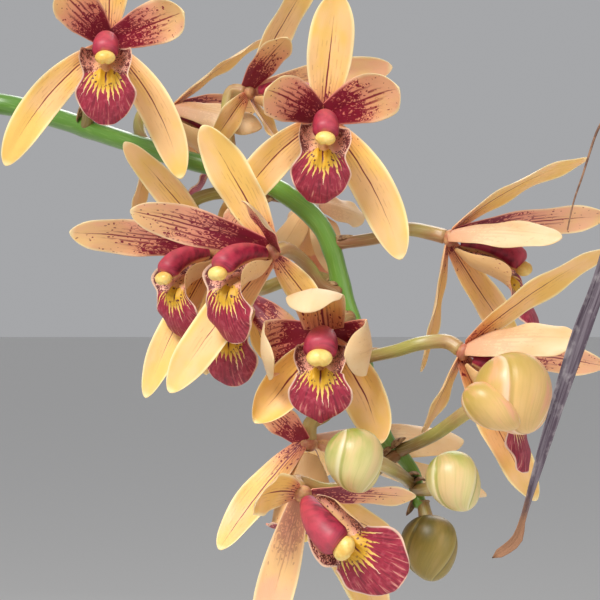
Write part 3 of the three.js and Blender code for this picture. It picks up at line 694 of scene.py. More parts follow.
class Effects:
    """Builds each shared node group once."""

    def __init__(self) -> None:
        """Starts with none built."""
        self.built: dict[Effect, bpy.types.NodeTree] = {}

    def place(self, graph: Graph, effect: Effect, inputs: dict[str, Value]) -> bpy.types.Node:
        """Puts an effect in a material.

        Args:
            graph: The material's graph.
            effect: Which one.
            inputs: Its inputs by name.

        Returns:
            The group's node.
        """
        if effect not in self.built:
            maker = {Effect.VEINS: self._veins, Effect.FLECKS: self._flecks}[effect]
            self.built[effect] = maker()
        node = graph.node("ShaderNodeGroup", node_tree=self.built[effect])
        for key, value in inputs.items():
            graph.feed(node.inputs[key], value)
        return node

    @staticmethod
    def _group(
        name: str, inputs: dict[str, float], outputs: Sequence[str]
    ) -> tuple[Graph, dict[str, Socket], bpy.types.Node]:
        """Starts a node group.

        Args:
            name: The group's name.
            inputs: Its inputs with their usual values. One in capitals is a vector.
            outputs: Its outputs.

        Returns:
            The group's graph, its inputs by name and its output node.
        """
        tree = bpy.data.node_groups.new(name, "ShaderNodeTree")
        for key, usual in inputs.items():
            kind = "NodeSocketVector" if key.isupper() else "NodeSocketFloat"
            made = tree.interface.new_socket(name=key, in_out="INPUT", socket_type=kind)
            if not key.isupper():
                made.default_value = usual
        for key in outputs:
            tree.interface.new_socket(name=key, in_out="OUTPUT", socket_type="NodeSocketFloat")
        graph = Graph(tree)
        given = graph.node("NodeGroupInput")
        return graph, {key: given.outputs[key] for key in inputs}, graph.node("NodeGroupOutput")

    def _veins(self) -> bpy.types.NodeTree:
        """Builds lines that run along a blade and break into dashes towards their ends.

        Returns:
            The node group.
        """
        inputs = {
            "PLACE": 0.0, "SPAN": 0.0, "seed": 0.0, "count": 4.5, "reach": 0.5, "width": 0.16,
            "broken": 0.5, "spread": 0.6,
        }
        graph, given, output = self._group("veins", inputs, ("middle", "sides", "relief"))
        u, v, _ = graph.parts(given["PLACE"])
        x = graph.math("MULTIPLY_ADD", u, 2.0, -1.0)
        sx, sy, _ = graph.parts(given["SPAN"])
        shift = graph.mul(given["seed"], 17.0)
        drift = graph.noise(graph.vector(graph.mul(sx, 0.16), graph.mul(sy, 0.1), shift), 1.0, 3.0)
        bent = graph.math("ADD", x, graph.mul(graph.math("SUBTRACT", drift, 0.5), 0.16))
        away = graph.math("ABSOLUTE", bent)
        dash = graph.noise(graph.vector(graph.mul(sx, 1.5), graph.mul(sy, 0.34), shift), 1.0, 2.0)
        ragged = graph.math("ADD", v, graph.mul(graph.math("SUBTRACT", dash, 0.5), 0.5))

        reach = given["reach"]
        narrowing = graph.rise(ragged, graph.math("ADD", reach, 0.3), 0.0)
        half = graph.math("MULTIPLY_ADD", narrowing, 0.06, 0.016)
        line = graph.rise(away, half, graph.mul(half, 0.4))
        fade = graph.rise(ragged, graph.math("ADD", reach, 0.28), graph.math("SUBTRACT", reach, 0.05))
        graph.feed(output.inputs["middle"], graph.mul(line, fade))

        near = graph.math("PINGPONG", graph.mul(bent, given["count"]), 0.5)
        thin = graph.rise(near, given["width"], graph.mul(given["width"], 0.35))
        gone = graph.math("MULTIPLY_ADD", away, -0.45, graph.mul(reach, given["spread"], 1.7))
        fades = graph.rise(ragged, graph.math("ADD", gone, 0.16), graph.math("SUBTRACT", gone, 0.1))
        gaps = graph.rise(dash, given["broken"], graph.math("ADD", given["broken"], 0.07))
        whole = graph.rise(v, graph.mul(gone, 0.7), graph.mul(gone, 0.2))
        graph.feed(output.inputs["sides"], graph.mul(thin, fades, graph.most(gaps, whole)))

        fine = graph.math("PINGPONG", graph.mul(bent, given["count"], 2.0), 0.5)
        graph.feed(output.inputs["relief"], fine)
        return graph.tree

    def _flecks(self) -> bpy.types.NodeTree:
        """Builds spots that crowd together into a net where crowd is high.

        Returns:
            The node group.
        """
        inputs = {"SPAN": 0.0, "seed": 0.0, "crowd": 0.5, "long": 0.6, "size": 1.0}
        graph, given, output = self._group("flecks", inputs, ("spots",))
        sx, sy, _ = graph.parts(given["SPAN"])
        shift = graph.mul(given["seed"], 29.0)
        plain = graph.vector(
            graph.mul(sx, given["size"]), graph.mul(sy, given["size"], given["long"]), shift
        )
        stir = graph.node("ShaderNodeTexNoise", {"Vector": plain, "Scale": 0.9, "Detail": 2.0})
        both = {0: plain, 1: stir.outputs["Color"]}
        where = graph.node("ShaderNodeVectorMath", both, operation="ADD").outputs[0]
        spot = graph.cells(where, 1.0)
        edge = graph.cells(where, 1.0, "DISTANCE_TO_EDGE")
        patch = graph.noise(plain, 0.45, 2.0)
        crowd = graph.math("ADD", given["crowd"], graph.mul(graph.math("SUBTRACT", patch, 0.5), 0.9))
        size = graph.mul(crowd, 0.5)
        dots = graph.rise(spot, size, graph.math("SUBTRACT", size, 0.1))
        thick = graph.mul(graph.math("SUBTRACT", crowd, 0.62), 0.55)
        net = graph.rise(edge, graph.math("ADD", thick, 0.03), graph.math("SUBTRACT", thick, 0.03))
        graph.feed(output.inputs["spots"], graph.most(dots, net))
        return graph.tree


EFFECTS = Effects()


# Finishes


@dataclass(frozen=True)
class TepalFinish(Finish):
    """A petal's or sepal's skin: gold to peach, pale at its rim, with crimson marks. The pale rim is
    partly the tepal's own paler margin and partly a painted highlight.

    Reaches are shares of the length, counted from the root.
    """

    gold: Colour = rgb(238, 192, 100)
    peach: Colour = rgb(242, 194, 132)
    cream: Colour = rgb(252, 234, 182)
    back: Colour = rgb(222, 182, 130)
    back_light: Colour = rgb(230, 202, 158)
    wash: Colour = rgb(204, 96, 88)
    crimson: Colour = rgb(122, 20, 38)
    brown: Colour = rgb(164, 88, 48)
    wash_reach: float = 0.3
    wash_strength: float = 0.75
    line_reach: float = 0.58
    vein_reach: float = 0.3
    fleck_reach: float = 0.34
    fleck_crowd: float = 0.5
    fleck_least: float = 0.18
    dash_share: float = 0.28
    back_marks: float = 0.1

    def surface(self, graph: Graph) -> Surface:
        """Gives the tepal's colour, roughness and normal."""
        place, span = graph.uv("Place"), graph.uv("Span")
        seed, marks, side = graph.traits()
        u, v, _ = graph.parts(place)
        sx, sy, _ = graph.parts(span)
        away = graph.math("ABSOLUTE", graph.math("MULTIPLY_ADD", u, 2.0, -1.0))
        inner = graph.rise(side, 0.3, 0.7)
        shift = graph.mul(seed, 7.0)
        cloud = graph.noise(graph.vector(graph.mul(sx, 0.13), graph.mul(sy, 0.07), shift), 1.0, 3.0)
        near = graph.math("DIVIDE", v, graph.math("MULTIPLY_ADD", marks, 0.45, 0.55))
        ragged = graph.math("ADD", near, graph.mul(graph.math("SUBTRACT", cloud, 0.5), 0.3))

        ground = graph.mix(graph.rise(cloud, 0.38, 0.62), self.gold, self.peach)
        # The cream rim is partly the tepal's own paler margin and partly a painted highlight along its
        # edge.
        rim = graph.most(graph.rise(away, 0.8, 0.99), graph.rise(v, 0.95, 1.0))
        ground = graph.mix(graph.mul(rim, 0.75), ground, self.cream)
        ground = graph.mix(inner, self._back(graph, cloud, v), ground)

        shown = graph.math("MULTIPLY_ADD", inner, 1 - self.back_marks, self.back_marks)
        strength = graph.mul(marks, shown)
        full = graph.math("MULTIPLY", strength, 1.4, clamped=True)
        wash = graph.mul(graph.rise(ragged, self.wash_reach, 0.0), self.wash_strength, full)
        skin = graph.mix(wash, ground, self.wash)

        shared = {"PLACE": graph.vector(u, near), "SPAN": span, "seed": seed}
        dashes = EFFECTS.place(
            graph, Effect.VEINS, {**shared, "count": 5.5, "reach": 0.8, "width": 0.2, "broken": 0.5}
        )
        shade = graph.mul(dashes.outputs["sides"], self.dash_share, full)
        skin = graph.mix(shade, skin, self.brown)
        veins = EFFECTS.place(
            graph, Effect.VEINS, {**shared, "reach": self.vein_reach, "width": 0.28, "broken": 0.4}
        )
        middle = EFFECTS.place(graph, Effect.VEINS, {**shared, "reach": self.line_reach})
        inward = graph.rise(ragged, self.fleck_reach, 0.0)
        crowd = graph.math("MULTIPLY_ADD", inward, self.fleck_crowd, self.fleck_least)
        zone = graph.rise(ragged, self.fleck_reach + 0.14, self.fleck_reach - 0.06)
        flecks = EFFECTS.place(graph, Effect.FLECKS, {"SPAN": span, "seed": seed, "crowd": crowd})
        spots = graph.mul(flecks.outputs[0], zone, graph.rise(away, 0.97, 0.84))
        lines = graph.most(middle.outputs["middle"], graph.mul(veins.outputs["sides"], 0.9), spots)
        skin = graph.mix(graph.mul(lines, full), skin, self.crimson)

        grain = graph.noise(graph.vector(graph.mul(sx, 2.2), graph.mul(sy, 1.1), shift), 1.0, 3.0)
        height = graph.math("MULTIPLY_ADD", dashes.outputs["relief"], 0.4, graph.mul(grain, 0.3))
        rough = graph.math("MULTIPLY_ADD", grain, 0.22, self.roughness - 0.11)
        return skin, rough, graph.bump(height, 0.1 * MM, 0.4)

    def _back(self, graph: Graph, cloud: Socket, v: Socket) -> Socket:
        """Gives the back's colour, peach clouded with cream."""
        back = graph.mix(graph.rise(cloud, 0.3, 0.7), self.back, self.back_light)
        return graph.mix(graph.mul(graph.rise(v, 0.35, 0.0), 0.7), back, self.peach)


@dataclass(frozen=True)
class LipFinish(Finish):
    """A lip's skin: spotted pink sides, a golden middle and a crimson front lobe.

    Lengths are millimetres along the lip or across it. heart_half is the heart's half width,
    then how far it reaches forward and back. Its rays fan out from fan_back behind it.
    """

    crimson: Colour = rgb(156, 30, 56)
    rose: Colour = rgb(200, 88, 102)
    deep: Colour = rgb(92, 10, 30)
    pink: Colour = rgb(234, 170, 148)
    pale: Colour = rgb(240, 204, 178)
    golden: Colour = rgb(216, 166, 36)
    straw: Colour = rgb(234, 198, 104)
    tan: Colour = rgb(226, 182, 126)
    heart_place: float = 13.4
    heart_half: tuple[float, float, float] = (5.2, 4.7, 3.4)
    fan_back: float = 7.0
    fingers: float = 9.6
    finger_reach: float = 1.15
    lobe_from: float = 0.47

    def surface(self, graph: Graph) -> Surface:
        """Gives the lip's colour, roughness and normal."""
        place, span = graph.uv("Place"), graph.uv("Span")
        seed, _, side = graph.traits()
        u, v, _ = graph.parts(place)
        sx, sy, _ = graph.parts(span)
        away = graph.math("ABSOLUTE", graph.math("MULTIPLY_ADD", u, 2.0, -1.0))
        shift = graph.mul(seed, 5.0)
        inner = graph.rise(side, 0.3, 0.7)
        stir = graph.math("SUBTRACT", graph.noise(graph.vector(sx, sy, shift), 0.55, 3.0), 0.5)

        flecks = EFFECTS.place(
            graph, Effect.FLECKS,
            {"SPAN": span, "seed": seed, "crowd": graph.math("MULTIPLY_ADD", away, 0.5, 0.42),
             "long": 1.0, "size": 1.15},
        ).outputs[0]
        throat = graph.mix(graph.rise(away, 0.5, 0.2), self.pink, self.tan)
        side_skin = graph.mix(graph.mul(flecks, 0.95), throat, self.deep)

        ahead = graph.math("SUBTRACT", sy, self.heart_place)
        turn = graph.math("ARCTAN2", sx, graph.math("ADD", ahead, self.fan_back))
        half_width, forwards, backwards = self.heart_half
        reach = graph.most(
            graph.math("DIVIDE", ahead, forwards), graph.math("DIVIDE", ahead, -backwards)
        )
        wide = graph.math("DIVIDE", sx, half_width)
        distance = graph.math("SQRT", graph.math("ADD", graph.mul(reach, reach), graph.mul(wide, wide)))

        rays = graph.vector(graph.mul(turn, 22.0), graph.mul(distance, 0.7), shift)
        fine = graph.noise(rays, 1.6, 3.0)
        velvet = graph.mix(graph.mul(graph.rise(fine, 0.45, 0.75), 0.75), self.crimson, self.deep)
        pale_rays = graph.mul(graph.rise(fine, 0.44, 0.3), graph.rise(distance, 1.2, 2.0), 0.6)
        velvet = graph.mix(pale_rays, velvet, self.pink)
        patches = graph.noise(graph.vector(sx, sy, shift), 0.9, 3.0)
        velvet = graph.mix(graph.mul(graph.rise(patches, 0.5, 0.7), 0.4), velvet, self.rose)
        wavy = graph.math("ADD", v, graph.mul(stir, 0.16))
        front = graph.rise(wavy, self.lobe_from, self.lobe_from + 0.05)
        skin = graph.mix(front, side_skin, velvet)

        bent = graph.math("ADD", turn, graph.mul(stir, 0.1))
        finger = graph.mul(graph.math("PINGPONG", graph.mul(bent, self.fingers), 0.5), 2.0)
        uneven = graph.noise(graph.vector(graph.mul(bent, 6.0), 0.0, shift), 1.0, 1.0)
        longer = graph.mul(
            finger, finger, graph.rise(uneven, 0.2, 0.75), graph.rise(ahead, -2.5, 0.5), self.finger_reach
        )
        edge = graph.math("SUBTRACT", graph.math("ADD", distance, graph.mul(stir, 0.4)), longer)
        heart = graph.rise(edge, 0.66, 0.58)
        gold = graph.mix(graph.rise(distance, 0.5, 0.95), self.golden, self.straw)
        gold = graph.mix(graph.rise(distance, 0.95, 1.5), gold, self.pale)
        streak = graph.mul(graph.rise(finger, 0.26, 0.08), graph.rise(distance, 0.42, 0.62), uneven, 1.6)
        gold = graph.mix(graph.mul(streak, graph.rise(ahead, -3.0, -0.5)), gold, self.deep)
        skin = graph.mix(heart, skin, gold)

        dots = graph.rise(graph.cells(graph.vector(sx, sy, shift), 1.1), 0.33, 0.26)
        dots = graph.mul(dots, graph.rise(distance, 0.32, 0.5), graph.rise(ahead, 3.6, 1.6))
        seam = graph.rise(graph.math("ABSOLUTE", graph.math("ADD", sx, graph.mul(stir, 0.5))), 0.32, 0.14)
        seam = graph.mul(seam, graph.rise(ahead, 2.6, 0.6))
        skin = graph.mix(graph.mul(graph.most(seam, dots), heart), skin, self.deep)

        rim = graph.mul(graph.most(graph.rise(away, 0.92, 0.97), graph.rise(v, 0.972, 0.985)), 0.85)
        skin = graph.mix(rim, skin, self.pale)
        outer = graph.mix(graph.mul(front, 0.5), self.tan, self.rose)
        crowd = graph.math("MULTIPLY_ADD", graph.mul(v, away), 0.42, 0.06)
        points = graph.cells(graph.vector(sx, graph.mul(sy, 0.7), shift), 1.5)
        points = graph.rise(points, crowd, graph.math("SUBTRACT", crowd, 0.07))
        outer = graph.mix(graph.mul(points, 0.85), outer, self.crimson)
        skin = graph.mix(inner, outer, skin)
        height = graph.math("ADD", graph.mul(fine, 0.8), patches)
        return skin, None, graph.bump(height, 0.2 * MM, 0.6)


@dataclass(frozen=True)
class ColumnFinish(Finish):
    """A column's skin: crimson over the top with a painted highlight in rose along its crest, pale and
    spotted beneath, gold at its tip.
    """

    # rose is the colour of the painted highlight along the column's top.
    rose: Colour = rgb(206, 84, 98)
    crimson: Colour = rgb(170, 40, 66)
    deep: Colour = rgb(116, 18, 42)
    golden: Colour = rgb(238, 190, 84)
    under: Colour = rgb(226, 178, 120)

    def surface(self, graph: Graph) -> Surface:
        """Gives the column's colour, roughness and normal."""
        u, v, _ = graph.parts(graph.uv("Place"))
        span = graph.uv("Span")
        seed, _, _ = graph.traits()
        top = graph.math("COSINE", graph.mul(u, math.tau))
        cloud = graph.noise(span, 0.5, 3.0)
        crown = graph.mix(graph.rise(cloud, 0.35, 0.7), self.crimson, self.deep)
        # Painted highlight: rose laid over the crest of the column, where the light falls.
        crown = graph.mix(graph.mul(graph.rise(top, 0.5, 1.0), 0.5), crown, self.rose)
        flecks = EFFECTS.place(
            graph, Effect.FLECKS, {"SPAN": span, "seed": seed, "crowd": 0.5, "size": 1.2}
        )
        belly = graph.mix(flecks.outputs[0], self.under, self.deep)
        skin = graph.mix(graph.rise(top, -0.6, -0.3), belly, crown)
        tip = graph.rise(graph.math("ADD", v, graph.mul(cloud, 0.04)), 0.99, 1.06)
        skin = graph.mix(tip, skin, self.golden)
        return skin, None, graph.bump(cloud, 0.12 * MM, 0.5)


@dataclass(frozen=True)
class CloudFinish(Finish):
    """A plain skin that drifts between two colours, with fine grain along it."""

    light: Colour = rgb(242, 214, 128)
    dark: Colour = rgb(226, 180, 84)
    scale: float = 300.0
    grain: float = 0.1

    def surface(self, graph: Graph) -> Surface:
        """Gives the skin's colour, roughness and normal."""
        cloud = graph.noise(graph.inside(), self.scale, 4.0, 0.6)
        skin = graph.mix(graph.rise(cloud, 0.35, 0.65), self.light, self.dark)
        return skin, None, graph.bump(cloud, self.grain * MM, 0.6)


@dataclass(frozen=True)
class StemFinish(Finish):
    """The flower stem's or a stalk's skin, which changes along it, with fine streaks."""

    near: Colour = rgb(52, 84, 28)
    middle: Colour = rgb(76, 118, 38)
    far: Colour = rgb(110, 156, 60)
    pale: Colour = rgb(164, 190, 118)
    middle_at: float = 0.6
    varied: float = 0.0
    flush: Colour = rgb(158, 100, 70)

    def surface(self, graph: Graph) -> Surface:
        """Gives the stem's colour, roughness and normal."""
        _, v, _ = graph.parts(graph.uv("Place"))
        sx, sy, _ = graph.parts(graph.uv("Span"))
        seed, _, _ = graph.traits()
        shift = graph.mul(seed, 3.0)
        drift = graph.noise(graph.vector(graph.mul(sx, 0.2), graph.mul(sy, 0.08), shift), 1.0, 3.0)
        streak = graph.noise(graph.vector(graph.mul(sx, 3.0), graph.mul(sy, 0.14), shift), 1.0, 3.0)
        skin = graph.mix(graph.rise(v, 0.0, self.middle_at), self.near, self.middle)
        skin = graph.mix(graph.rise(v, self.middle_at, 1.0), skin, self.far)
        blush = graph.rise(graph.math("ADD", drift, graph.mul(graph.math("FRACT", shift), 0.3)), 0.5, 0.9)
        skin = graph.mix(graph.mul(blush, self.varied), skin, self.flush)
        skin = graph.mix(graph.mul(graph.rise(streak, 0.5, 0.75), 0.3), skin, self.pale)
        return skin, None, graph.bump(streak, 0.12 * MM, 0.5)


@dataclass(frozen=True)
class BudFinish(Finish):
    """A bud's skin: sepals that lap over each other, with a painted highlight along each sepal's edge and
    painted shadow in the seam where it laps over the next.
    """

    base: Colour = rgb(150, 156, 66)
    body: Colour = rgb(216, 202, 136)
    # edge is the colour of the painted highlight along each sepal's lapping edge.
    edge: Colour = rgb(246, 238, 204)
    flush: Colour = rgb(230, 180, 142)
    flushed: float = 0.4

    def surface(self, graph: Graph) -> Surface:
        """Gives the bud's colour, roughness and normal."""
        u, v, _ = graph.parts(graph.uv("Place"))
        seed, _, _ = graph.traits()
        lap = graph.math("FRACT", u)
        shift = graph.mul(seed, 3.0)
        drift = graph.noise(graph.vector(graph.mul(u, 2.0), graph.mul(v, 1.6), shift), 1.6, 3.0)
        fine = graph.noise(graph.vector(graph.mul(u, 26.0), graph.mul(v, 2.0), shift), 1.0, 2.0)
        ragged = graph.math("ADD", v, graph.mul(graph.math("SUBTRACT", drift, 0.5), 0.5))
        skin = graph.mix(graph.rise(ragged, 0.1, 0.6), self.base, self.body)
        skin = graph.mix(graph.mul(graph.rise(drift, 0.42, 0.66), self.flushed), skin, self.flush)
        skin = graph.mix(graph.mul(graph.rise(fine, 0.45, 0.75), 0.2), skin, self.base)
        # Painted highlight: a pale band along each sepal's raised edge.
        edge = graph.mul(graph.rise(lap, 0.82, 0.93), graph.rise(lap, 0.965, 0.94))
        skin = graph.mix(graph.mul(edge, 0.42), skin, self.edge)
        # Painted shadow: the dark seam where one sepal laps over the next, in the base colour.
        seam = graph.most(graph.rise(lap, 0.95, 0.98), graph.rise(lap, 0.04, 0.0))
        skin = graph.mix(graph.mul(seam, 0.6), skin, self.base)
        return skin, None, graph.bump(fine, 0.12 * MM, 0.5)


@dataclass(frozen=True)
class LeafFinish(Finish):
    """A strap leaf's skin: green with fine veins along it and a paler middle."""

    dark: Colour = rgb(62, 104, 36)
    light: Colour = rgb(108, 150, 58)
    middle: Colour = rgb(146, 178, 88)
    dry: Colour = rgb(170, 140, 84)
    dry_from: float = 0.93

    def surface(self, graph: Graph) -> Surface:
        """Gives the leaf's colour, roughness and normal."""
        u, v, _ = graph.parts(graph.uv("Place"))
        sx, sy, _ = graph.parts(graph.uv("Span"))
        seed, _, _ = graph.traits()
        shift = graph.mul(seed, 3.0)
        away = graph.math("ABSOLUTE", graph.math("MULTIPLY_ADD", u, 2.0, -1.0))
        drift = graph.noise(graph.vector(graph.mul(sx, 0.12), graph.mul(sy, 0.012), shift), 1.0, 3.0)
        lines = graph.noise(graph.vector(graph.mul(sx, 1.7), graph.mul(sy, 0.008), shift), 1.0, 2.0)
        skin = graph.mix(graph.rise(drift, 0.36, 0.64), self.dark, self.light)
        skin = graph.mix(graph.mul(graph.rise(lines, 0.5, 0.7), 0.35), skin, self.light)
        skin = graph.mix(graph.mul(graph.rise(away, 0.14, 0.02), 0.6), skin, self.middle)
        skin = graph.mix(graph.mul(graph.rise(v, 0.12, 0.0), 0.6), skin, self.middle)
        dried = graph.math("ADD", v, graph.mul(graph.math("SUBTRACT", drift, 0.5), 0.12))
        skin = graph.mix(graph.rise(dried, self.dry_from, self.dry_from + 0.04), skin, self.dry)
        return skin, None, graph.bump(lines, 0.25 * MM, 0.6)


@dataclass(frozen=True)
class DryFinish(Finish):
    """A withered leaf's skin: grey-purple and papery, brown at its end, with creases."""

    grey: Colour = rgb(112, 102, 110)
    mauve: Colour = rgb(70, 56, 68)
    pale: Colour = rgb(158, 150, 152)
    brown: Colour = rgb(146, 104, 76)
    brown_from: float = 0.975

    def surface(self, graph: Graph) -> Surface:
        """Gives the withered leaf's colour, roughness and normal."""
        _, v, _ = graph.parts(graph.uv("Place"))
        sx, sy, _ = graph.parts(graph.uv("Span"))
        streak = graph.noise(graph.vector(graph.mul(sx, 1.3), graph.mul(sy, 0.05)), 1.0, 4.0)
        patch = graph.noise(graph.vector(graph.mul(sx, 0.4), graph.mul(sy, 0.25)), 1.0, 4.0)
        skin = graph.mix(graph.rise(streak, 0.36, 0.62), self.grey, self.mauve)
        skin = graph.mix(graph.mul(graph.rise(patch, 0.52, 0.7), 0.6), skin, self.pale)
        ragged = graph.math("ADD", v, graph.mul(graph.math("SUBTRACT", patch, 0.5), 0.02))
        skin = graph.mix(graph.rise(ragged, self.brown_from, self.brown_from + 0.012), skin, self.brown)
        height = graph.math("ADD", streak, graph.mul(patch, 0.6))
        return skin, None, graph.bump(height, 0.5 * MM, 0.8)


@dataclass(frozen=True)
class ClayFinish(Finish):
    """Fired clay with pale mineral bloom, darker where it is damp, and fine pits."""

    clay: Colour = rgb(184, 100, 66)
    warm: Colour = rgb(202, 124, 86)
    damp: Colour = rgb(140, 74, 50)
    bloom: Colour = rgb(222, 190, 164)

    def surface(self, graph: Graph) -> Surface:
        """Gives the clay's colour, roughness and normal."""
        inside = graph.inside()
        _, _, z = graph.parts(inside)
        broad = graph.noise(inside, 22.0, 4.0, 0.6)
        fine = graph.noise(inside, 260.0, 4.0, 0.65)
        skin = graph.mix(graph.rise(broad, 0.35, 0.65), self.clay, self.warm)
        low = graph.rise(graph.math("ADD", z, graph.mul(broad, 0.06)), 0.07, 0.02)
        skin = graph.mix(graph.mul(low, 0.6), skin, self.damp)
        salt = graph.mul(graph.rise(broad, 0.55, 0.7), graph.rise(fine, 0.4, 0.6))
        band = graph.rise(graph.math("ADD", z, graph.mul(broad, 0.05)), 0.1, 0.13)
        skin = graph.mix(graph.mul(salt, graph.math("MULTIPLY_ADD", band, 0.4, 0.3)), skin, self.bloom)
        rings = graph.math("SINE", graph.mul(z, 2600.0))
        height = graph.math("ADD", fine, graph.mul(rings, 0.06))
        return skin, None, graph.bump(height, 0.4 * MM, 0.7)


@dataclass(frozen=True)
class BarkFinish(Finish):
    """Orchid bark: layered reds and browns with dark cracks."""

    dark: Colour = rgb(62, 38, 24)
    brown: Colour = rgb(112, 70, 42)
    tan: Colour = rgb(166, 118, 76)

    def surface(self, graph: Graph) -> Surface:
        """Gives the bark's colour, roughness and normal."""
        inside = graph.inside()
        piece = graph.noise(inside, 55.0, 2.0)
        layers = graph.noise(inside, 240.0, 5.0, 0.7)
        skin = graph.mix(graph.rise(layers, 0.35, 0.65), self.dark, self.brown)
        skin = graph.mix(graph.mul(graph.rise(piece, 0.5, 0.68), 0.7), skin, self.tan)
        return skin, None, graph.bump(layers, 0.9 * MM, 0.9)


SEPAL = TepalFinish("sepal_skin", roughness=0.5, subsurface=0.12)
PETAL = TepalFinish(
    "petal_skin",
    roughness=0.5,
    subsurface=0.12,
    gold=rgb(242, 198, 134),
    peach=rgb(242, 184, 142),
    wash=rgb(208, 90, 100),
    crimson=rgb(132, 18, 46),
    wash_reach=0.95,
    wash_strength=0.85,
    line_reach=0.78,
    vein_reach=0.75,
    fleck_reach=0.92,
    fleck_crowd=0.68,
    fleck_least=0.34,
    dash_share=0.3,
)
LIP = LipFinish("lip_skin", roughness=0.5, subsurface=0.08)
COLUMN = ColumnFinish("column_skin", roughness=0.5, subsurface=0.08)
ANTHER = CloudFinish("anther_cap", roughness=0.4, subsurface=0.15)
RACHIS = StemFinish("flower_stem_skin", roughness=0.3, coat=0.3)
STALK = StemFinish(
    "stalk_skin",
    roughness=0.42,
    coat=0.1,
    near=rgb(132, 110, 60),
    middle=rgb(156, 150, 74),
    far=rgb(192, 168, 106),
    pale=rgb(212, 200, 150),
    middle_at=0.5,
    varied=0.7,
)
JOINT = CloudFinish(
    "flower_joint", roughness=0.5, subsurface=0.1, light=rgb(212, 166, 112), dark=rgb(176, 104, 80)
)
BRACT = CloudFinish(
    "bract", roughness=0.8, light=rgb(176, 142, 100), dark=rgb(110, 74, 50), scale=900.0, grain=0.2
)
GREEN_BUD = BudFinish("closed_bud_skin", roughness=0.42, coat=0.1, subsurface=0.1)
PEACH_BUD = BudFinish(
    "opening_bud_skin", roughness=0.42, coat=0.1, subsurface=0.1,
    base=rgb(186, 156, 74), body=rgb(226, 184, 116), flush=rgb(234, 166, 132), flushed=0.8,
)
OLIVE_BUD = BudFinish(
    "lowest_bud_skin", roughness=0.42, coat=0.1, subsurface=0.1,
    base=rgb(92, 82, 26), body=rgb(140, 120, 46), edge=rgb(186, 168, 98), flushed=0.1,
)
LEAF = LeafFinish("strap_leaf_skin", roughness=0.42, coat=0.12)
BULB = StemFinish(
    "pseudobulb_skin", roughness=0.5, near=rgb(120, 132, 62), middle=rgb(112, 140, 58),
    far=rgb(132, 152, 74), varied=0.3,
)
SHEATH = CloudFinish(
    "dry_sheath", roughness=0.85, light=rgb(204, 180, 132), dark=rgb(150, 116, 74), scale=120.0, grain=0.5
)
DRY = DryFinish("withered_skin", roughness=0.85)
STRAND = CloudFinish(
    "dry_strand_skin", roughness=0.85, light=rgb(150, 112, 86), dark=rgb(104, 72, 56), scale=500.0
)
CLAY = ClayFinish("fired_clay", roughness=0.88)
BARK = BarkFinish("orchid_bark", roughness=0.9)
FLOOR = CloudFinish(
    "pale_floor", roughness=0.9, light=rgb(230, 229, 227), dark=rgb(230, 229, 227), scale=3.0, grain=0.0
)


# Blooms

ROOT_OUT = 1.3
ROOT_BACK = 0.5
HUB_RADIUS = 2.0
OVARY_REACH = 5.0
# How finely each kind of piece is divided, along it and then round it.
TEPAL_GRID, LIP_GRID, COLUMN_GRID = (44, 30), (64, 88), (40, 32)
EGG_GRID, STEM_GRID, STALK_GRID, BRACT_GRID = (48, 108), (460, 28), (40, 24), (12, 16)
BULB_GRID, LEAF_GRID, SHEATH_GRID = (32, 54), (90, 26), (16, 48)
WITHERED_GRID, STRAND_GRID = (420, 18), (60, 10)
DEFAULT_FACE: Place = ()

# A lip's middle line in the bloom's own frame, as how far forward and up it lies.
LIP_FORWARD = (1.6, 6.6, 11.5, 15.0, 16.6, 16.4, 14.6)
LIP_UP = (-2.0, -4.8, -5.6, -7.4, -10.9, -15.0, -19.0)
# The same of a lip whose front lobe is held out.
OPEN_FORWARD = (1.6, 6.6, 11.5, 15.6, 19.2, 22.2, 24.6)
OPEN_UP = (-2.0, -4.8, -5.6, -6.8, -9.0, -12.0, -15.6)
# Half the lip's developed width, how far its sides stand up in degrees, and how far the
# side lobes' points reach forward, along the same line.
LIP_HALF = (2.2, 7.0, 8.6, 5.4, 6.8, 5.9, 0.0)
ROUND_LIP_HALF = (2.2, 7.0, 8.6, 5.8, 7.9, 8.2, 7.8)
LIP_STAND = (50.0, 78.0, 76.0, 36.0, -6.0, -10.0, -6.0)
LIP_REACH = (0.0, 0.0, 3.4, 0.6, 0.0, 0.0, 0.0)
LIP_BEND = 0.5

LIP_LENGTH = 26.0
# The two keels along the lip: their height, how far from the middle, and their width.
KEEL_HEIGHT, KEEL_PLACE, KEEL_WIDTH = 1.15, 1.6, 0.85
# The groove along a petal or sepal, and the share of its thickness it loses to its tip.
GROOVE_DEPTH, GROOVE_WIDTH, THINNING = 0.34, 0.8, 0.45

# The column's line, its radius at its root, how far it swells, and its anther cap.
ANTHER_PLACE, ANTHER_HALF = (0, -18.1, -2.5), (2.45, 2.0, 1.7)
COLUMN_ROOT, COLUMN_SWELL, HOOD_SWELL = 1.7, 1.5, 3.2
COLUMN_LINE = ((0.0, -2.6, -0.1), (0.0, -8.0, 0.6), (0.0, -13.5, 0.0), (0.0, -17.6, -2.0))


class Part(Enum):
    """Where a petal or sepal stands on its bloom, left and right as its face is seen."""

    DORSAL = "dorsal"
    LEFT_PETAL = "left_petal"
    RIGHT_PETAL = "right_petal"
    LEFT_SEPAL = "left_sepal"
    RIGHT_SEPAL = "right_sepal"

    @property
    def is_petal(self) -> bool:
        """Tells whether it is a petal."""
        return self in (Part.LEFT_PETAL, Part.RIGHT_PETAL)


PETAL_BEND = Bend(cup=18, foot=0.46, widest=0.62, blunt=2.7, shoulder=0.68)


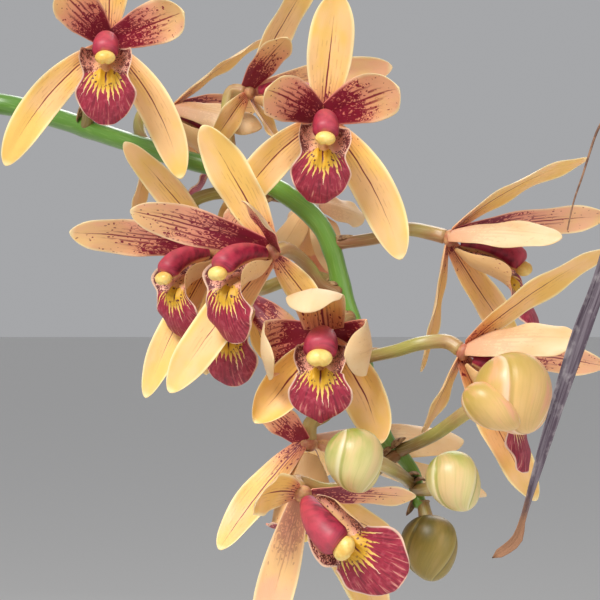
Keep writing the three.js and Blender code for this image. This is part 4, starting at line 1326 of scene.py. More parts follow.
@dataclass(frozen=True)
class Tepal:
    """A petal or sepal, by the place of its tip and the way its inner side looks."""

    tip: Place
    width: float
    curl: float = 0.0
    face: Place = DEFAULT_FACE
    sweep: float = 0.0
    cup: float = 0.0
    foot: float = 0.0
    marks: float = 1.0
    wave: float = 0.5

    def bend(self, part: Part) -> Bend:
        """Gives its bends and outline.

        Args:
            part: Where it stands, which sets whether it is a petal.

        Returns:
            The bend, with the usual form of its kind where it has none of its own.
        """
        usual = PETAL_BEND if part.is_petal else Bend()
        return replace(
            usual,
            curl=self.curl,
            sweep=self.sweep,
            cup=self.cup or usual.cup,
            foot=self.foot or usual.foot,
        )


@dataclass
class Blooms:
    """The finishes that every bloom shares."""

    sepal: bpy.types.Material
    petal: bpy.types.Material
    joint: bpy.types.Material
    lip: bpy.types.Material
    column: bpy.types.Material
    anther: bpy.types.Material


@dataclass(frozen=True)
class Bloom:
    """One open flower: three sepals and two petals round a lip and a column."""

    name: str
    at: Place
    facing: Place
    top: Place
    stalk: Sequence[Place]
    tepals: dict[Part, Tepal]
    size: float = 1.0
    flare: float = 1.0
    hood: float = 1.0
    open_lip: bool = False
    pointed: bool = False
    marks: float = 1.0
    thickness: float = 0.8
    lip_thickness: float = 0.7

    @property
    def front(self) -> Vector:
        """The way the bloom looks."""
        return Vector(self.facing).normalized()

    @property
    def middle(self) -> Vector:
        """The bloom's middle."""
        return seen(self.at)

    @property
    def seed(self) -> float:
        """A number of the bloom's own, between 0 and 10."""
        return random.Random(self.name).random() * 10

    def matrix(self) -> Matrix:
        """Gives the frame of its lip and column: -Y along the column, +Z to the top."""
        up = Vector(self.top)
        up = (up - self.front * up.dot(self.front)).normalized()
        axes = Matrix((up.cross(self.front), -self.front, up)).transposed() * self.size
        return Matrix.Translation(self.middle) @ axes.to_4x4()

    def stalk_curve(self) -> Curve:
        """Gives the middle line of its stalk, which ends inside the bloom's hub."""
        ends = (OVARY_REACH, 0.6)
        return Curve([*map(seen, self.stalk), *(self.middle - self.front * end for end in ends)])

    def build(self, blooms: Blooms) -> None:
        """Builds the bloom's pieces.

        Args:
            blooms: The finishes.
        """
        self._build_tepals(blooms)
        self._build_lip(blooms)
        self._build_column(blooms)

    def _build_tepals(self, blooms: Blooms) -> None:
        """Builds the sepals and petals with the small hub that holds them."""
        skin = Skin()
        radius = HUB_RADIUS * self.size
        shape = Matrix.Scale(radius, 4) @ Matrix.Scale(0.8, 4, self.front)
        skin.sphere(Matrix.Translation(self.middle) @ shape, 20, finish=2)
        for number, (part, tepal) in enumerate(self.tepals.items()):
            self._add_tepal(skin, part, tepal, self.seed + number * 1.7)
        finishes = (blooms.sepal, blooms.petal, blooms.joint)
        skin.piece(f"{self.name}_sepals_and_petals", finishes, "tepal", [f"bloom_{self.name}_petals"])

    def _add_tepal(self, skin: Skin, part: Part, tepal: Tepal, seed: float) -> None:
        """Adds one petal or sepal.

        Args:
            skin: Where to add it.
            part: Where it stands.
            tepal: Its form.
            seed: A number of its own.
        """
        tip = seen(tepal.tip)
        outward = tip - self.middle
        outward = (outward - self.front * outward.dot(self.front)).normalized()
        root = self.middle + outward * ROOT_OUT - self.front * ROOT_BACK
        bend = tepal.bend(part)
        frames = bend.reaching(root, tip, Vector(tepal.face) if tepal.face else self.front)
        length = (frames[1].point - frames[0].point).length * BEND_STEPS
        rng = random.Random(seed)
        phase, turns = rng.random(), rng.uniform(1.6, 2.6)

        def spot_at(t: float, angle: float) -> Spot:
            """Places a spot of the blade, whose rows crowd towards its tip."""
            along = 1 - (1 - t) ** 1.4
            frame = frame_at(frames, along)
            s, lift = math.cos(angle), math.sin(angle)
            half = 0.0 if t == 0 else tepal.width / 2 * bend.outline(along)
            across, up, turned = bent_section(half, bend.cup, s)
            ripple = math.sin(math.tau * (turns * along + phase + 0.2 * s))
            up += tepal.wave * ripple * abs(s) ** 3 * ease(0.1, 0.5, along) * ease(1.0, 0.8, along)
            groove = GROOVE_DEPTH * math.exp(-((across / GROOVE_WIDTH) ** 2))
            up -= groove * ease(0.0, 0.15, along) * ease(1.0, 0.7, along)
            thick = self.thickness * (1 - THINNING * along) * (0.0 if t in (0.0, 1.0) else 1.0)
            point = frame.on_blade(across, up, turned, thick / 2 * lift)
            place = ((s + 1) / 2, along)
            return Spot(point, place, (s * half, along * length), 0.5 + 0.5 * clamp(lift * 3, -1, 1))

        marks = tepal.marks * self.marks
        finish = 1 if part.is_petal else 0
        skin.wrap(*TEPAL_GRID, spot_at, seed=seed, marks=marks, finish=finish)

    def _build_lip(self, blooms: Blooms) -> None:
        """Builds the lip, whose side lobes stand up beside the column, with its two keels."""
        matrix = self.matrix()
        forwards = OPEN_FORWARD if self.open_lip else LIP_FORWARD
        ups = OPEN_UP if self.open_lip else LIP_UP
        seed = self.seed
        step = 0.01

        def spot_at(t: float, angle: float) -> Spot:
            """Places a spot of the lip."""
            along = 1 - (1 - t) ** 1.15
            s, lift = math.cos(angle), math.sin(angle)
            forward, rise = smooth_value(forwards, along), smooth_value(ups, along)
            df = smooth_value(forwards, along + step) - smooth_value(forwards, along - step)
            du = smooth_value(ups, along + step) - smooth_value(ups, along - step)
            slope = math.hypot(df, du)
            ahead, out = Vector((0, -df, du)) / slope, Vector((0, du, df)) / slope
            half = max(smooth_value(LIP_HALF if self.pointed else ROUND_LIP_HALF, along), 0.2)
            half *= self.flare if along > LIP_BEND else 1.0
            if not self.pointed:
                half *= math.sqrt(clamp(1 - max(0.0, (along - 0.5) / 0.5) ** 2))
            half = 0.0 if t in (0.0, 1.0) else half
            across, up, turned = bent_section(half, smooth_value(LIP_STAND, along), s)
            lobe = ease(0.5, 0.68, along) * ease(1.0, 0.93, along)
            ripple = math.sin(math.tau * (4.4 * along + seed))
            up += 0.42 * lobe * ripple * abs(s) ** 3 - 0.5 * lobe * abs(s) ** 5
            window = ease(0.05, 0.14, along) * ease(0.64, 0.54, along)
            window *= 0.5 + 0.5 * ease(0.3, 0.5, along)
            near = math.exp(-(((abs(s * half) - KEEL_PLACE) / KEEL_WIDTH) ** 2))
            keel = KEEL_HEIGHT * window * near * max(lift, 0.0) ** 0.3
            thick = 0.0 if t in (0.0, 1.0) else self.lip_thickness
            face = out * math.cos(turned) + Vector((math.sin(turned), 0, 0))
            reach = smooth_value(LIP_REACH, along) * abs(s) ** 2.6
            point = Vector((0, -forward, rise)) + Vector((-across, 0, 0)) + out * up
            point += ahead * reach + face * (thick / 2 * lift + keel)
            side = 0.5 + 0.5 * clamp(lift * 3, -1, 1)
            return Spot(matrix @ point, ((s + 1) / 2, along), (s * half, along * LIP_LENGTH), side)

        skin = Skin()
        skin.wrap(*LIP_GRID, spot_at, seed=seed)
        skin.piece(f"{self.name}_lip_blade", (blooms.lip,), "lip", [f"bloom_{self.name}_lip"])

    def _build_column(self, blooms: Blooms) -> None:
        """Builds the column, hollow beneath, and the anther cap under its end."""
        matrix = self.matrix()
        curve = Curve([matrix @ Vector(place) for place in COLUMN_LINE])

        def radius_at(t: float, angle: float) -> float:
            """Gives the column's radius."""
            below = max(0.0, -math.cos(angle))
            swell = COLUMN_SWELL + HOOD_SWELL * (self.hood - 1)
            full = COLUMN_ROOT + swell * math.sin(1.9 * t)
            rounding = math.sqrt(clamp(1 - max(0.0, (t - 0.86) / 0.15) ** 2))
            return self.size * full * (1 - 0.28 * below**1.5 * ease(0.1, 0.5, t)) * rounding

        top = (matrix.to_3x3() @ UP).normalized()
        skin = Skin()
        skin.tube(curve, radius_at, *COLUMN_GRID, hint=top, seed=self.seed)
        shape = Matrix.Translation(ANTHER_PLACE) @ Matrix.Diagonal((*ANTHER_HALF, 1))
        cap = skin.sphere(matrix @ shape @ Matrix.Scale(self.hood, 4), 32, finish=1)
        groove = matrix.inverted()
        for vert in cap:
            local = groove @ vert.co
            dent = 0.35 * math.exp(-((local.x / 0.45) ** 2)) * ease(-2.6, -4.2, local.z)
            vert.co = matrix @ (local + Vector((0, 0, dent)))
        finishes = (blooms.column, blooms.anther)
        skin.piece(f"{self.name}_column_and_cap", finishes, "column", [f"bloom_{self.name}_column"])


BLOOMS = (
    Bloom(
        "top_left", (-48, 64.5, -6), (0.06, -1, -0.2), (0, 0, 1),
        ((-53.2, 42.8, 27), (-52.7, 49, 20), (-51, 56, 10)),
        {
            Part.DORSAL: Tepal((-47, 94.5, -14), 10, 12),
            Part.LEFT_PETAL: Tepal((-60, 77.5, -24), 11, 35),
            Part.RIGHT_PETAL: Tepal((-29, 72, -26), 11, 35),
            Part.LEFT_SEPAL: Tepal((-73.7, 33.5, -6), 9, sweep=-34),
            Part.RIGHT_SEPAL: Tepal((-29.7, 30.2, -8), 9, sweep=34),
        },
    ),
    Bloom(
        "top_rear_left", (-32, 47.2, 26), (0.85, 0, -0.5), (0.5, 0, 0.85),
        ((-37.5, 37.7, 15), (-40, 42, 22), (-39.5, 46, 27)),
        {
            Part.DORSAL: Tepal((-7.5, 66, 24), 8, 14, face=(0.6, -0.15, -0.8)),
            Part.LEFT_PETAL: Tepal((-9.5, 43, 19), 8, 20, face=(0.1, 0.8, -0.5)),
            Part.RIGHT_PETAL: Tepal((-10.5, 48, 42), 8, 20, face=(0, -0.9, -0.4)),
            Part.LEFT_SEPAL: Tepal((-41.7, 20.5, 26), 8, 10, face=(0.9, -0.4, 0.2)),
            Part.RIGHT_SEPAL: Tepal((-20, 30, 42), 8, 10, face=(0.7, -0.6, 0.3)),
        },
    ),
    Bloom(
        "top_rear", (-12.5, 52, 14), (0.9, -0.35, -0.05), (0, 0, 1),
        ((-16, 32, 6), (-17.8, 40, 12), (-18.2, 47, 15)),
        {
            Part.DORSAL: Tepal((4.5, 83.7, 18), 9.5, 8, face=(0.5, -0.7, -0.5)),
            Part.LEFT_PETAL: Tepal((-3.2, 65.7, -4), 8, 20, face=(0.3, -0.9, -0.3)),
            Part.RIGHT_PETAL: Tepal((23.2, 58.2, 28), 9.5, 18, face=(0, -0.9, -0.4), foot=0.3, marks=0.3),
            Part.LEFT_SEPAL: Tepal((-22.5, 38, -2), 7.5, 10, face=(0.5, -0.8, -0.2)),
            Part.RIGHT_SEPAL: Tepal((-3.7, 38, 20), 8, 10, face=(0.8, -0.3, 0.3)),
        },
    ),
    Bloom(
        "top_centre", (5.7, 45.7, -8), (0.04, -1, -0.24), (0.1, 0, 1),
        ((1, 23, 4), (3, 31, 8), (5, 40, 5)),
        {
            Part.DORSAL: Tepal((9.2, 77.2, -15), 11.5, 12),
            Part.LEFT_PETAL: Tepal((-8.5, 52.7, -27), 12, 38),
            Part.RIGHT_PETAL: Tepal((24.8, 53, -26), 12.5, 34),
            Part.LEFT_SEPAL: Tepal((-17, 21.2, -8), 9.5, sweep=-28),
            Part.RIGHT_SEPAL: Tepal((25.2, 10, -10), 10.5, sweep=30),
        },
    ),
    Bloom(
        "middle_rear", (3, 23.7, 20), (0.1, 0.9, -0.4), (0, 0.4, 0.9),
        ((4.5, 19.5, 5), (3.2, 23, 9)),
        {
            Part.DORSAL: Tepal((8, 42, 34), 9, 12),
            Part.LEFT_PETAL: Tepal((16.2, 20.7, 32), 8, 12),
            Part.RIGHT_PETAL: Tepal((-4.5, 12.5, 34), 9, 12),
            Part.LEFT_SEPAL: Tepal((8.7, 6.5, 13), 6.5, -8),
            Part.RIGHT_SEPAL: Tepal((-8, 8, 26), 8, -8),
        },
    ),
    Bloom(
        "left_rear", (-21.5, 12.5, 4), (-0.68, -0.68, -0.27), (0, 0, 1),
        ((-3.5, 26, 5), (-14, 26.7, 9), (-22, 26.5, 12), (-27, 24, 15), (-23, 17, 14)),
        {
            Part.DORSAL: Tepal((-44, 39.5, -4), 8.5, 14, face=(-0.3, -0.9, -0.3)),
            Part.LEFT_PETAL: Tepal((-57.7, 17, -4), 10, 14, face=(0, -0.9, -0.45)),
            Part.RIGHT_PETAL: Tepal((-13.5, 23.5, -6), 8, 14, face=(-0.6, -0.6, 0)),
            Part.LEFT_SEPAL: Tepal((-38.7, -24.5, 2), 8.5, face=(-0.3, -0.9, 0.1), sweep=-12),
            Part.RIGHT_SEPAL: Tepal((-23.7, -18.7, 14), 9, 6, face=(-0.5, -0.8, 0)),
        },
    ),
    Bloom(
        "left_front", (-7, 12, -14), (-0.68, -0.72, -0.15), (0, 0, 1),
        ((10, 1.8, 3), (5.5, 3.7, 0), (2, 8.5, -3)),
        {
            Part.DORSAL: Tepal((-24.5, 43.7, -20), 11, 14, face=(-0.3, -0.9, -0.2)),
            Part.LEFT_PETAL: Tepal((-42.5, 22.5, -22), 10, 14, face=(0.1, -0.9, -0.45), marks=1.5),
            Part.RIGHT_PETAL: Tepal((-13.2, 24.2, -42), 9, 14, face=(-0.72, -0.22, -0.65), marks=1.6),
            Part.LEFT_SEPAL: Tepal((-32.7, -23.2, -14), 10.5, face=(-0.2, -0.9, 0.1), sweep=-10),
            Part.RIGHT_SEPAL: Tepal((5.5, -4, -10), 7.5, 6, face=(-0.3, -0.9, 0.2), marks=1.6),
        },
        size=1.05,
    ),
    Bloom(
        "left_low", (-14, 0.7, 8), (-0.25, -0.93, -0.27), (0, 0, 1),
        ((9.2, 4.5, 5), (1, 6, 14), (-9, 3, 18)),
        {
            Part.DORSAL: Tepal((-18, 25.5, 18), 9, 8),
            Part.LEFT_PETAL: Tepal((-27, 4, 18), 8, 8),
            Part.RIGHT_PETAL: Tepal((-0.7, -11.2, 0), 9, 10, face=(-0.2, -0.9, 0.3)),
            Part.LEFT_SEPAL: Tepal((-19.5, -19.5, 20), 8, 4),
            Part.RIGHT_SEPAL: Tepal((-7.2, -17, 8), 7, 8, face=(-0.8, -0.6, 0)),
        },
    ),
    Bloom(
        "right_upper", (37.5, 15.5, 3), (0.93, -0.25, -0.26), (0.2, -0.26, 0.94),
        ((8.5, 14, 4), (19, 15.5, 3), (26.5, 17.7, 2)),
        {
            Part.DORSAL: Tepal((72.2, 35.5, 4), 9, 30, face=(0.35, -0.4, -0.85)),
            Part.LEFT_PETAL: Tepal((65.6, 15.5, -17), 9, 22, face=(0.1, 0.75, -0.65)),
            Part.RIGHT_PETAL: Tepal((77, 21, 14), 9, 14, face=(0, -0.8, -0.55)),
            Part.LEFT_SEPAL: Tepal((30.2, -18, 2), 8.5, -8, face=(0.93, -0.3, 0)),
            Part.RIGHT_SEPAL: Tepal((55.5, -13, 20), 10, 8, face=(0.6, -0.8, 0.1)),
        },
        size=1.1, open_lip=True,
    ),
    Bloom(
        "right_lower", (41, -13, -8), (0.8, -0.34, -0.49), (0.42, -0.2, 0.88),
        ((15.6, -14.5, 2), (24, -12.7, -3), (30, -10.9, -6)),
        {
            Part.DORSAL: Tepal((77, 12.7, -22), 9, 22, face=(0.3, -0.7, -0.65)),
            Part.LEFT_PETAL: Tepal((69.5, -10, -24), 12, 24, face=(0.1, 0.7, -0.7)),
            Part.RIGHT_PETAL: Tepal((76.5, -16.5, 2), 8.5, 14, face=(0, -0.85, -0.5), marks=1.3),
            Part.LEFT_SEPAL: Tepal((30.5, -33.2, -6), 8.5, -4, face=(0.9, -0.4, -0.2)),
            Part.RIGHT_SEPAL: Tepal((59.2, -50.2, -4), 10.5, 8, face=(0.5, -0.85, 0)),
        },
        size=1.14, open_lip=True,
    ),
    Bloom(
        "middle_hooded", (6.5, -9, -18), (-0.1, -0.98, -0.13), (0, -0.1, 1),
        ((12.6, -4, 3), (9.5, -6.5, -3)),
        {
            Part.DORSAL: Tepal((2, -3.2, -40), 14, 130, face=(0, -0.3, -1), cup=30, foot=0.7),
            Part.LEFT_PETAL: Tepal((-6.5, -14.5, -33), 14, 158, face=(0.8, -0.6, 0)),
            Part.RIGHT_PETAL: Tepal((11, -13.6, -34.5), 13.2, 166, face=(-0.75, -0.6, -0.1)),
            Part.LEFT_SEPAL: Tepal((-11.5, -30.7, -24), 14, 30, cup=75),
            Part.RIGHT_SEPAL: Tepal((20.2, -36, -22), 12, sweep=30, cup=45),
        },
        size=0.98, flare=1.14, hood=1.28, pointed=True,
    ),
    Bloom(
        "bottom_rear", (2.2, -36, -4), (-0.08, 0, -1), (0, 1, 0),
        ((15.7, -17, 3), (12.5, -21.5, 1), (6.5, -28.5, -1)),
        {
            Part.DORSAL: Tepal((6, -44, 26), 9, 20, face=(0, 0.3, -0.95)),
            Part.LEFT_PETAL: Tepal((41, -35.2, 20), 10, 10, face=(0, 0.8, -0.5)),
            Part.RIGHT_PETAL: Tepal((-10.5, -24.5, -12), 9.5, 10, face=(-0.3, -0.8, -0.4)),
            Part.LEFT_SEPAL: Tepal((46.7, -49, 20), 8, 6, face=(0, 0.8, 0.5), marks=1.6),
            Part.RIGHT_SEPAL: Tepal(
                (-20.2, -62.5, -17), 9, face=(-0.4, -0.85, 0.2), sweep=-14, marks=1.8
            ),
        },
        size=1.2,
    ),
    Bloom(
        "bottom_front", (0.7, -48.5, -30), (0.36, -0.78, -0.5), (-0.75, -0.6, 0.3),
        ((24.5, -38.2, 0), (16, -44.5, -10), (7, -47.5, -20)),
        {
            Part.DORSAL: Tepal((-11, -50.5, -44), 12, 50, face=(0.3, -0.8, -0.5)),
            Part.LEFT_PETAL: Tepal((-9.5, -85, -26), 9.5, 6, face=(0, -0.95, 0.3), marks=0.3),
            Part.RIGHT_PETAL: Tepal((29, -49.2, -17), 6.5, 6, face=(0, -0.8, -0.6)),
            Part.LEFT_SEPAL: Tepal((21, -82, -20), 11, face=(0.2, -0.95, 0.3), sweep=20),
            Part.RIGHT_SEPAL: Tepal((24, -60, -8), 8, 6, face=(0.2, -0.9, 0.3)),
        },
        size=1.1, flare=1.14, hood=1.15, open_lip=True,
    ),
)


# Flower stem, stalks and buds

# The flower stem, first as [x, y, z] from the pot, then as seen along the spray.
STEM_RISE = (
    (30, 4, 94), (31, 4, 130), (35, 8, 200), (46, 16, 280), (68, 26, 360), (100, 36, 418), (142, 43, 450),
)
STEM_SPRAY = (
    (-75, 49, 45), (-60, 45.2, 34), (-44.5, 40, 20), (-27.2, 34.7, 9), (-12.5, 31, 5), (-2.5, 25.7, 4),
    (5, 18.7, 4), (8.5, 11, 4), (10.5, 2.5, 4), (13.7, -7.5, 4), (16.2, -17.5, 3), (19.2, -27.5, 1),
    (22, -35.5, 0), (26, -39.7, 0), (28.5, -43.7, 0), (29.2, -48.7, -1), (30.7, -52.5, -3),
)
# Its radius along it, evenly spaced.
STEM_RADII = (3.6, 3.4, 3.2, 3, 2.8, 2.6, 2.4, 2.2, 2.1, 2.4, 3.2, 3, 2.6, 2.4, 2.3, 2.1, 1.5)
BRACT_BEND = Bend(curl=18, cup=62, foot=0.9, widest=0.2, blunt=1.6, shoulder=0.9)


@dataclass(frozen=True)
class Egg:
    """An egg-shaped bud or flap, by its middle, its half sizes and the way its tip points."""

    at: Place
    half: Place
    axis: Place

    def matrix(self) -> Matrix:
        """Gives the egg's place and turn, with +Y towards its tip."""
        turn = UP.xzy.rotation_difference(Vector(self.axis).normalized())
        return Matrix.Translation(seen(self.at)) @ turn.to_matrix().to_4x4()


@dataclass(frozen=True)
class Bud:
    """A bud on its stalk: sepals that lap over each other round an egg."""

    name: str
    egg: Egg
    stalk: Sequence[Place]
    turn: float = 0.0
    sepals: Sequence[Egg] = ()
    twist: float = 0.35

    @property
    def seed(self) -> float:
        """A number of the bud's own, between 0 and 10."""
        return random.Random(self.name).random() * 10

    def stalk_curve(self) -> Curve:
        """Gives the middle line of its stalk, which ends inside the bud."""
        middle, last = seen(self.egg.at), seen(self.stalk[-1])
        end = middle + (last - middle).normalized() * (self.egg.half[2] * 0.8)
        return Curve([*map(seen, self.stalk[:-1]), end.lerp(last, 0.5), end])

    def build(self, finish: bpy.types.Material) -> None:
        """Builds the bud.

        Args:
            finish: Its finish.
        """
        skin = Skin()
        self._add_egg(skin, self.egg, 3, self.turn, 0.055)
        for sepal in self.sepals:
            self._add_egg(skin, sepal, 2, self.turn + 0.6, 0.03)
        skin.piece(f"{self.name}_bud", (finish,), "bud", [f"bud_{self.name}"])

    def _add_egg(self, skin: Skin, egg: Egg, laps: int, turn: float, lift: float) -> None:
        """Adds an egg whose sepals lap over each other.

        Args:
            skin: Where to add it.
            egg: Its form.
            laps: How many sepals show.
            turn: Where the first starts, in turns.
            lift: How far a sepal's edge stands over the next, as a share of the radius.
        """
        across, through, along = egg.half
        matrix = egg.matrix()

        def spot_at(t: float, angle: float) -> Spot:
            """Places a spot of the egg."""
            rise = math.pi * (t - 0.5)
            y, ring = math.sin(rise), 0.0 if t in (0.0, 1.0) else math.cos(rise)
            lap = (angle / math.tau + turn + self.twist * t * t) * laps
            share = lap % 1.0
            edge = ease(0.0, 0.9, share) * (1 - ease(0.93, 0.99, share))
            crease = math.exp(-(((share + 0.5) % 1.0 - 0.5) ** 2) / 0.002)
            radius = ring * (1 - 0.16 * y) * (1 + lift * (edge - 0.5) - 0.02 * crease)
            x, z = math.cos(angle) * across * radius, math.sin(angle) * through * radius
            return Spot(matrix @ Vector((x, y * along, z)), (lap, t), (angle * across, t * along * 2))

        skin.wrap(*EGG_GRID, spot_at, seed=self.seed)


@dataclass
class FlowerStem:
    """The flower stem with the stalk of every bloom and bud, and the bract under each."""

    blooms: Sequence[Bloom]
    buds: Sequence[Bud]
    stalk_radius: float = 1.5
    ovary_radius: float = 1.85
    bract_length: float = 5.0
    bract_width: float = 4.6
    bract_thickness: float = 0.22
    swell: float = 0.09
    swell_reach: float = 3.2
    curve: Curve = field(init=False)

    def __post_init__(self) -> None:
        """Lays the stem's middle line."""
        self.curve = Curve([*map(Vector, STEM_RISE), *map(seen, STEM_SPRAY)])

    def build(
        self, rachis: bpy.types.Material, stalk: bpy.types.Material, bract: bpy.types.Material
    ) -> None:
        """Builds the stem.

        Args:
            rachis: The stem's own finish.
            stalk: The stalks' finish.
            bract: The bracts' finish.
        """
        skin = Skin()
        curves = [piece.stalk_curve() for piece in (*self.blooms, *self.buds)]
        starts = [self._nearest(curve.at(0.0)) for curve in curves]

        def radius_at(t: float, angle: float) -> float:
            """Gives the stem's radius, which swells a little where a stalk leaves it."""
            away = ((t - start) * self.curve.length / self.swell_reach for start in starts)
            swell = sum(self.swell * math.exp(-(distance**2)) for distance in away)
            return smooth_value(STEM_RADII, t) * (1 + swell + 0.012 * math.cos(6 * angle))

        skin.tube(self.curve, radius_at, *STEM_GRID)
        for number, (curve, start) in enumerate(zip(curves, starts)):
            self._add_stalk(skin, curve, number * 0.83)
            self._add_bract(skin, curve, start, number * 0.61)
        skin.piece("flower_stem_and_stalks", (rachis, stalk, bract), "stem", ["flower_stem"])

    def _nearest(self, point: Vector) -> float:
        """Finds where along the stem a point lies nearest to it."""
        return min((k / 400 for k in range(401)), key=lambda t: (self.curve.at(t) - point).length)

    def _add_stalk(self, skin: Skin, curve: Curve, seed: float) -> None:
        """Adds one stalk, ribbed where it turns into the ovary."""

        def radius_at(t: float, angle: float) -> float:
            """Gives the stalk's radius."""
            ribs = 0.05 * math.cos(6 * angle + seed) * ease(0.4, 0.8, t)
            flare = 0.35 * ease(0.12, 0.0, t)
            return (self.stalk_radius + (self.ovary_radius - self.stalk_radius) * t + flare) * (1 + ribs)

        skin.tube(curve, radius_at, *STALK_GRID, seed=seed, finish=1)

    def _add_bract(self, skin: Skin, curve: Curve, start: float, seed: float) -> None:
        """Adds the small dry bract that hugs the foot of a stalk."""
        ahead = self.curve.tangent(start)
        leaving = curve.tangent(0.12)
        outward = (leaving - ahead * leaving.dot(ahead)).normalized()
        radius = smooth_value(STEM_RADII, start)
        origin = self.curve.at(start) + outward * (radius - 0.5) - ahead * (self.stalk_radius + 0.9)
        direction = outward * 0.75 + ahead * 0.1 + leaving * 0.6
        bend = BRACT_BEND
        frames = bend.midrib(origin, direction, ahead, self.bract_length)

        def spot_at(t: float, angle: float) -> Spot:
            """Places a spot of the bract."""
            frame = frame_at(frames, t)
            s, lift = math.cos(angle), math.sin(angle)
            half = 0.0 if t == 0 else self.bract_width / 2 * bend.outline(t)
            across, up, turned = bent_section(half, bend.cup, s)
            thick = 0.0 if t in (0.0, 1.0) else self.bract_thickness
            point = frame.on_blade(across, up, turned, thick * lift)
            return Spot(point, ((s + 1) / 2, t), (s * half, t * self.bract_length))

        skin.wrap(*BRACT_GRID, spot_at, seed=seed, finish=2)


# Growths

LEAF_BEND = Bend(cup=26, foot=0.62, widest=0.45, blunt=3, shoulder=0.9)
# Which ways a pseudobulb's dry sheaths look, in degrees, the tallest first.
SHEATH_HEADINGS = (20, 140, 260, 80, 200)


@dataclass(frozen=True)
class StrapLeaf:
    """A strap leaf that arches from its growth. heading, rise and droop are in degrees."""

    heading: float
    rise: float
    length: float
    width: float
    droop: float


@dataclass(frozen=True)
class Growth:
    """A pseudobulb with its leaves and the dry sheaths round its foot."""

    name: str
    at: Place
    radius: float
    height: float
    leaves: Sequence[StrapLeaf]
    bark_top: float = 110.0
    sink: float = 18.0
    flatness: float = 0.86
    root_out: float = 8.0
    leaf_thickness: float = 1.3

    @property
    def middle(self) -> Vector:
        """The pseudobulb's middle."""
        return Vector((*self.at, self.bark_top + self.height / 2 - self.sink))

    def build(
        self, leaf: bpy.types.Material, bulb: bpy.types.Material, sheath: bpy.types.Material
    ) -> None:
        """Builds the growth.

        Args:
            leaf: The leaves' finish.
            bulb: The pseudobulb's finish.
            sheath: The dry sheaths' finish.
        """
        skin = Skin()
        self._add_bulb(skin)
        for number, strap in enumerate(self.leaves):
            self._add_leaf(skin, strap, 1.3 * number + self.radius)
        for number, heading in enumerate(SHEATH_HEADINGS):
            self._add_sheath(skin, math.radians(heading), 0.62 - 0.08 * number)
        skin.piece(f"{self.name}_growth", (leaf, bulb, sheath), "leaf", [f"growth_{self.name}"])

    def _add_bulb(self, skin: Skin) -> None:
        """Adds the pseudobulb, drawn out to the leaves and lightly ribbed."""

        def spot_at(t: float, angle: float) -> Spot:
            """Places a spot of the pseudobulb."""
            rise = math.pi * (t - 0.5)
            z, ring = math.sin(rise), 0.0 if t in (0.0, 1.0) else math.cos(rise)
            radius = self.radius * ring * (1 + 0.02 * math.cos(9 * angle) - 0.05 * z)
            x, y = math.cos(angle) * radius, math.sin(angle) * radius * self.flatness
            point = self.middle + Vector((x, y, z * self.height / 2))
            return Spot(point, (angle / math.tau, t), (angle * radius, t * self.height))

        skin.wrap(*BULB_GRID, spot_at, seed=self.radius, finish=1)

    def _add_leaf(self, skin: Skin, strap: StrapLeaf, seed: float) -> None:
        """Adds one leaf, folded along its keel."""
        heading, rise = math.radians(strap.heading), math.radians(strap.rise)
        lean = Vector((math.cos(heading), math.sin(heading), 0))
        flat, steep = math.cos(rise), math.sin(rise)
        bend = replace(LEAF_BEND, curl=-strap.droop)
        origin = self.middle + lean * self.root_out
        frames = bend.midrib(origin, lean * flat + UP * steep, UP * flat - lean * steep, strap.length)
        phase = random.Random(seed).random()

        def spot_at(t: float, angle: float) -> Spot:
            """Places a spot of the leaf, whose rows crowd towards its tip."""
            along = 1 - (1 - t) ** 1.2
            frame = frame_at(frames, along)
            s, lift = math.cos(angle), math.sin(angle)
            half = 0.0 if t == 0 else strap.width / 2 * bend.outline(along)
            fold = bend.cup + 34 * ease(0.35, 0.0, along)
            across, up, turned = bent_section(half, fold, s)
            up -= 0.9 * math.exp(-((across / 1.3) ** 2)) * ease(1.0, 0.85, along)
            up += 0.5 * math.sin(math.tau * (3.2 * along + phase)) * s * abs(s) * ease(0.1, 0.4, along)
            thick = 0.0 if t in (0.0, 1.0) else self.leaf_thickness * (1 - 0.4 * along)
            point = frame.on_blade(across, up, turned, thick / 2 * lift)
            return Spot(point, ((s + 1) / 2, along), (s * half, along * strap.length))

        skin.wrap(*LEAF_GRID, spot_at, seed=seed)

    def _add_sheath(self, skin: Skin, heading: float, top: float) -> None:
        """Adds a dry sheath that wraps most of the way round the pseudobulb's foot.

        Args:
            skin: Where to add it.
            heading: The way its middle looks.
            top: How high its point stands, as a share of the pseudobulb's height.
        """
        rng = random.Random(heading)
        wobble = [rng.uniform(0.9, 1.1) for _ in range(9)]
        foot = 0.2

        def spot_at(t: float, angle: float) -> Spot:
            """Places a spot of the sheath."""
            s, lift = math.cos(angle), math.sin(angle)
            crest = foot + (top - foot) * (1 - 0.75 * abs(s) ** 1.3) * smooth_value(wobble, (s + 1) / 2)
            share = foot + (crest - foot) * t
            z = 2 * share - 1
            turn = heading + s * 1.9
            ring = math.sqrt(max(0.05, 1 - z * z))
            gap = 1.15 + 1.6 * ease(0.5, 1.0, t) * (0.4 + 0.6 * wobble[2])
            thick = 0.0 if t in (0.0, 1.0) else 0.3
            radius = self.radius * ring + gap + thick * lift
            local = (
                math.cos(turn) * radius,
                math.sin(turn) * (self.radius * ring * self.flatness + gap + thick * lift),
                z * self.height / 2,
            )
            return Spot(self.middle + Vector(local), ((s + 1) / 2, t), (s * 20, t * 20))

        skin.wrap(*SHEATH_GRID, spot_at, finish=2)


# The withered leaf

WITHERED_LINE = (
    (38, -26, 98), (42, -28, 200), (64, -30, 320), (110, -33, 430), (180, -36, 505), (250, -38, 532),
    (305, -40, 520), (338, -42, 480), (342, -44, 440),
)
WITHERED_END = (
    (76, 8.7, -45), (69.5, -10, -46), (63, -30, -46), (58.2, -46, -45), (55.6, -55, -44),
    (54, -60, -44), (48, -64.5, -44),
)
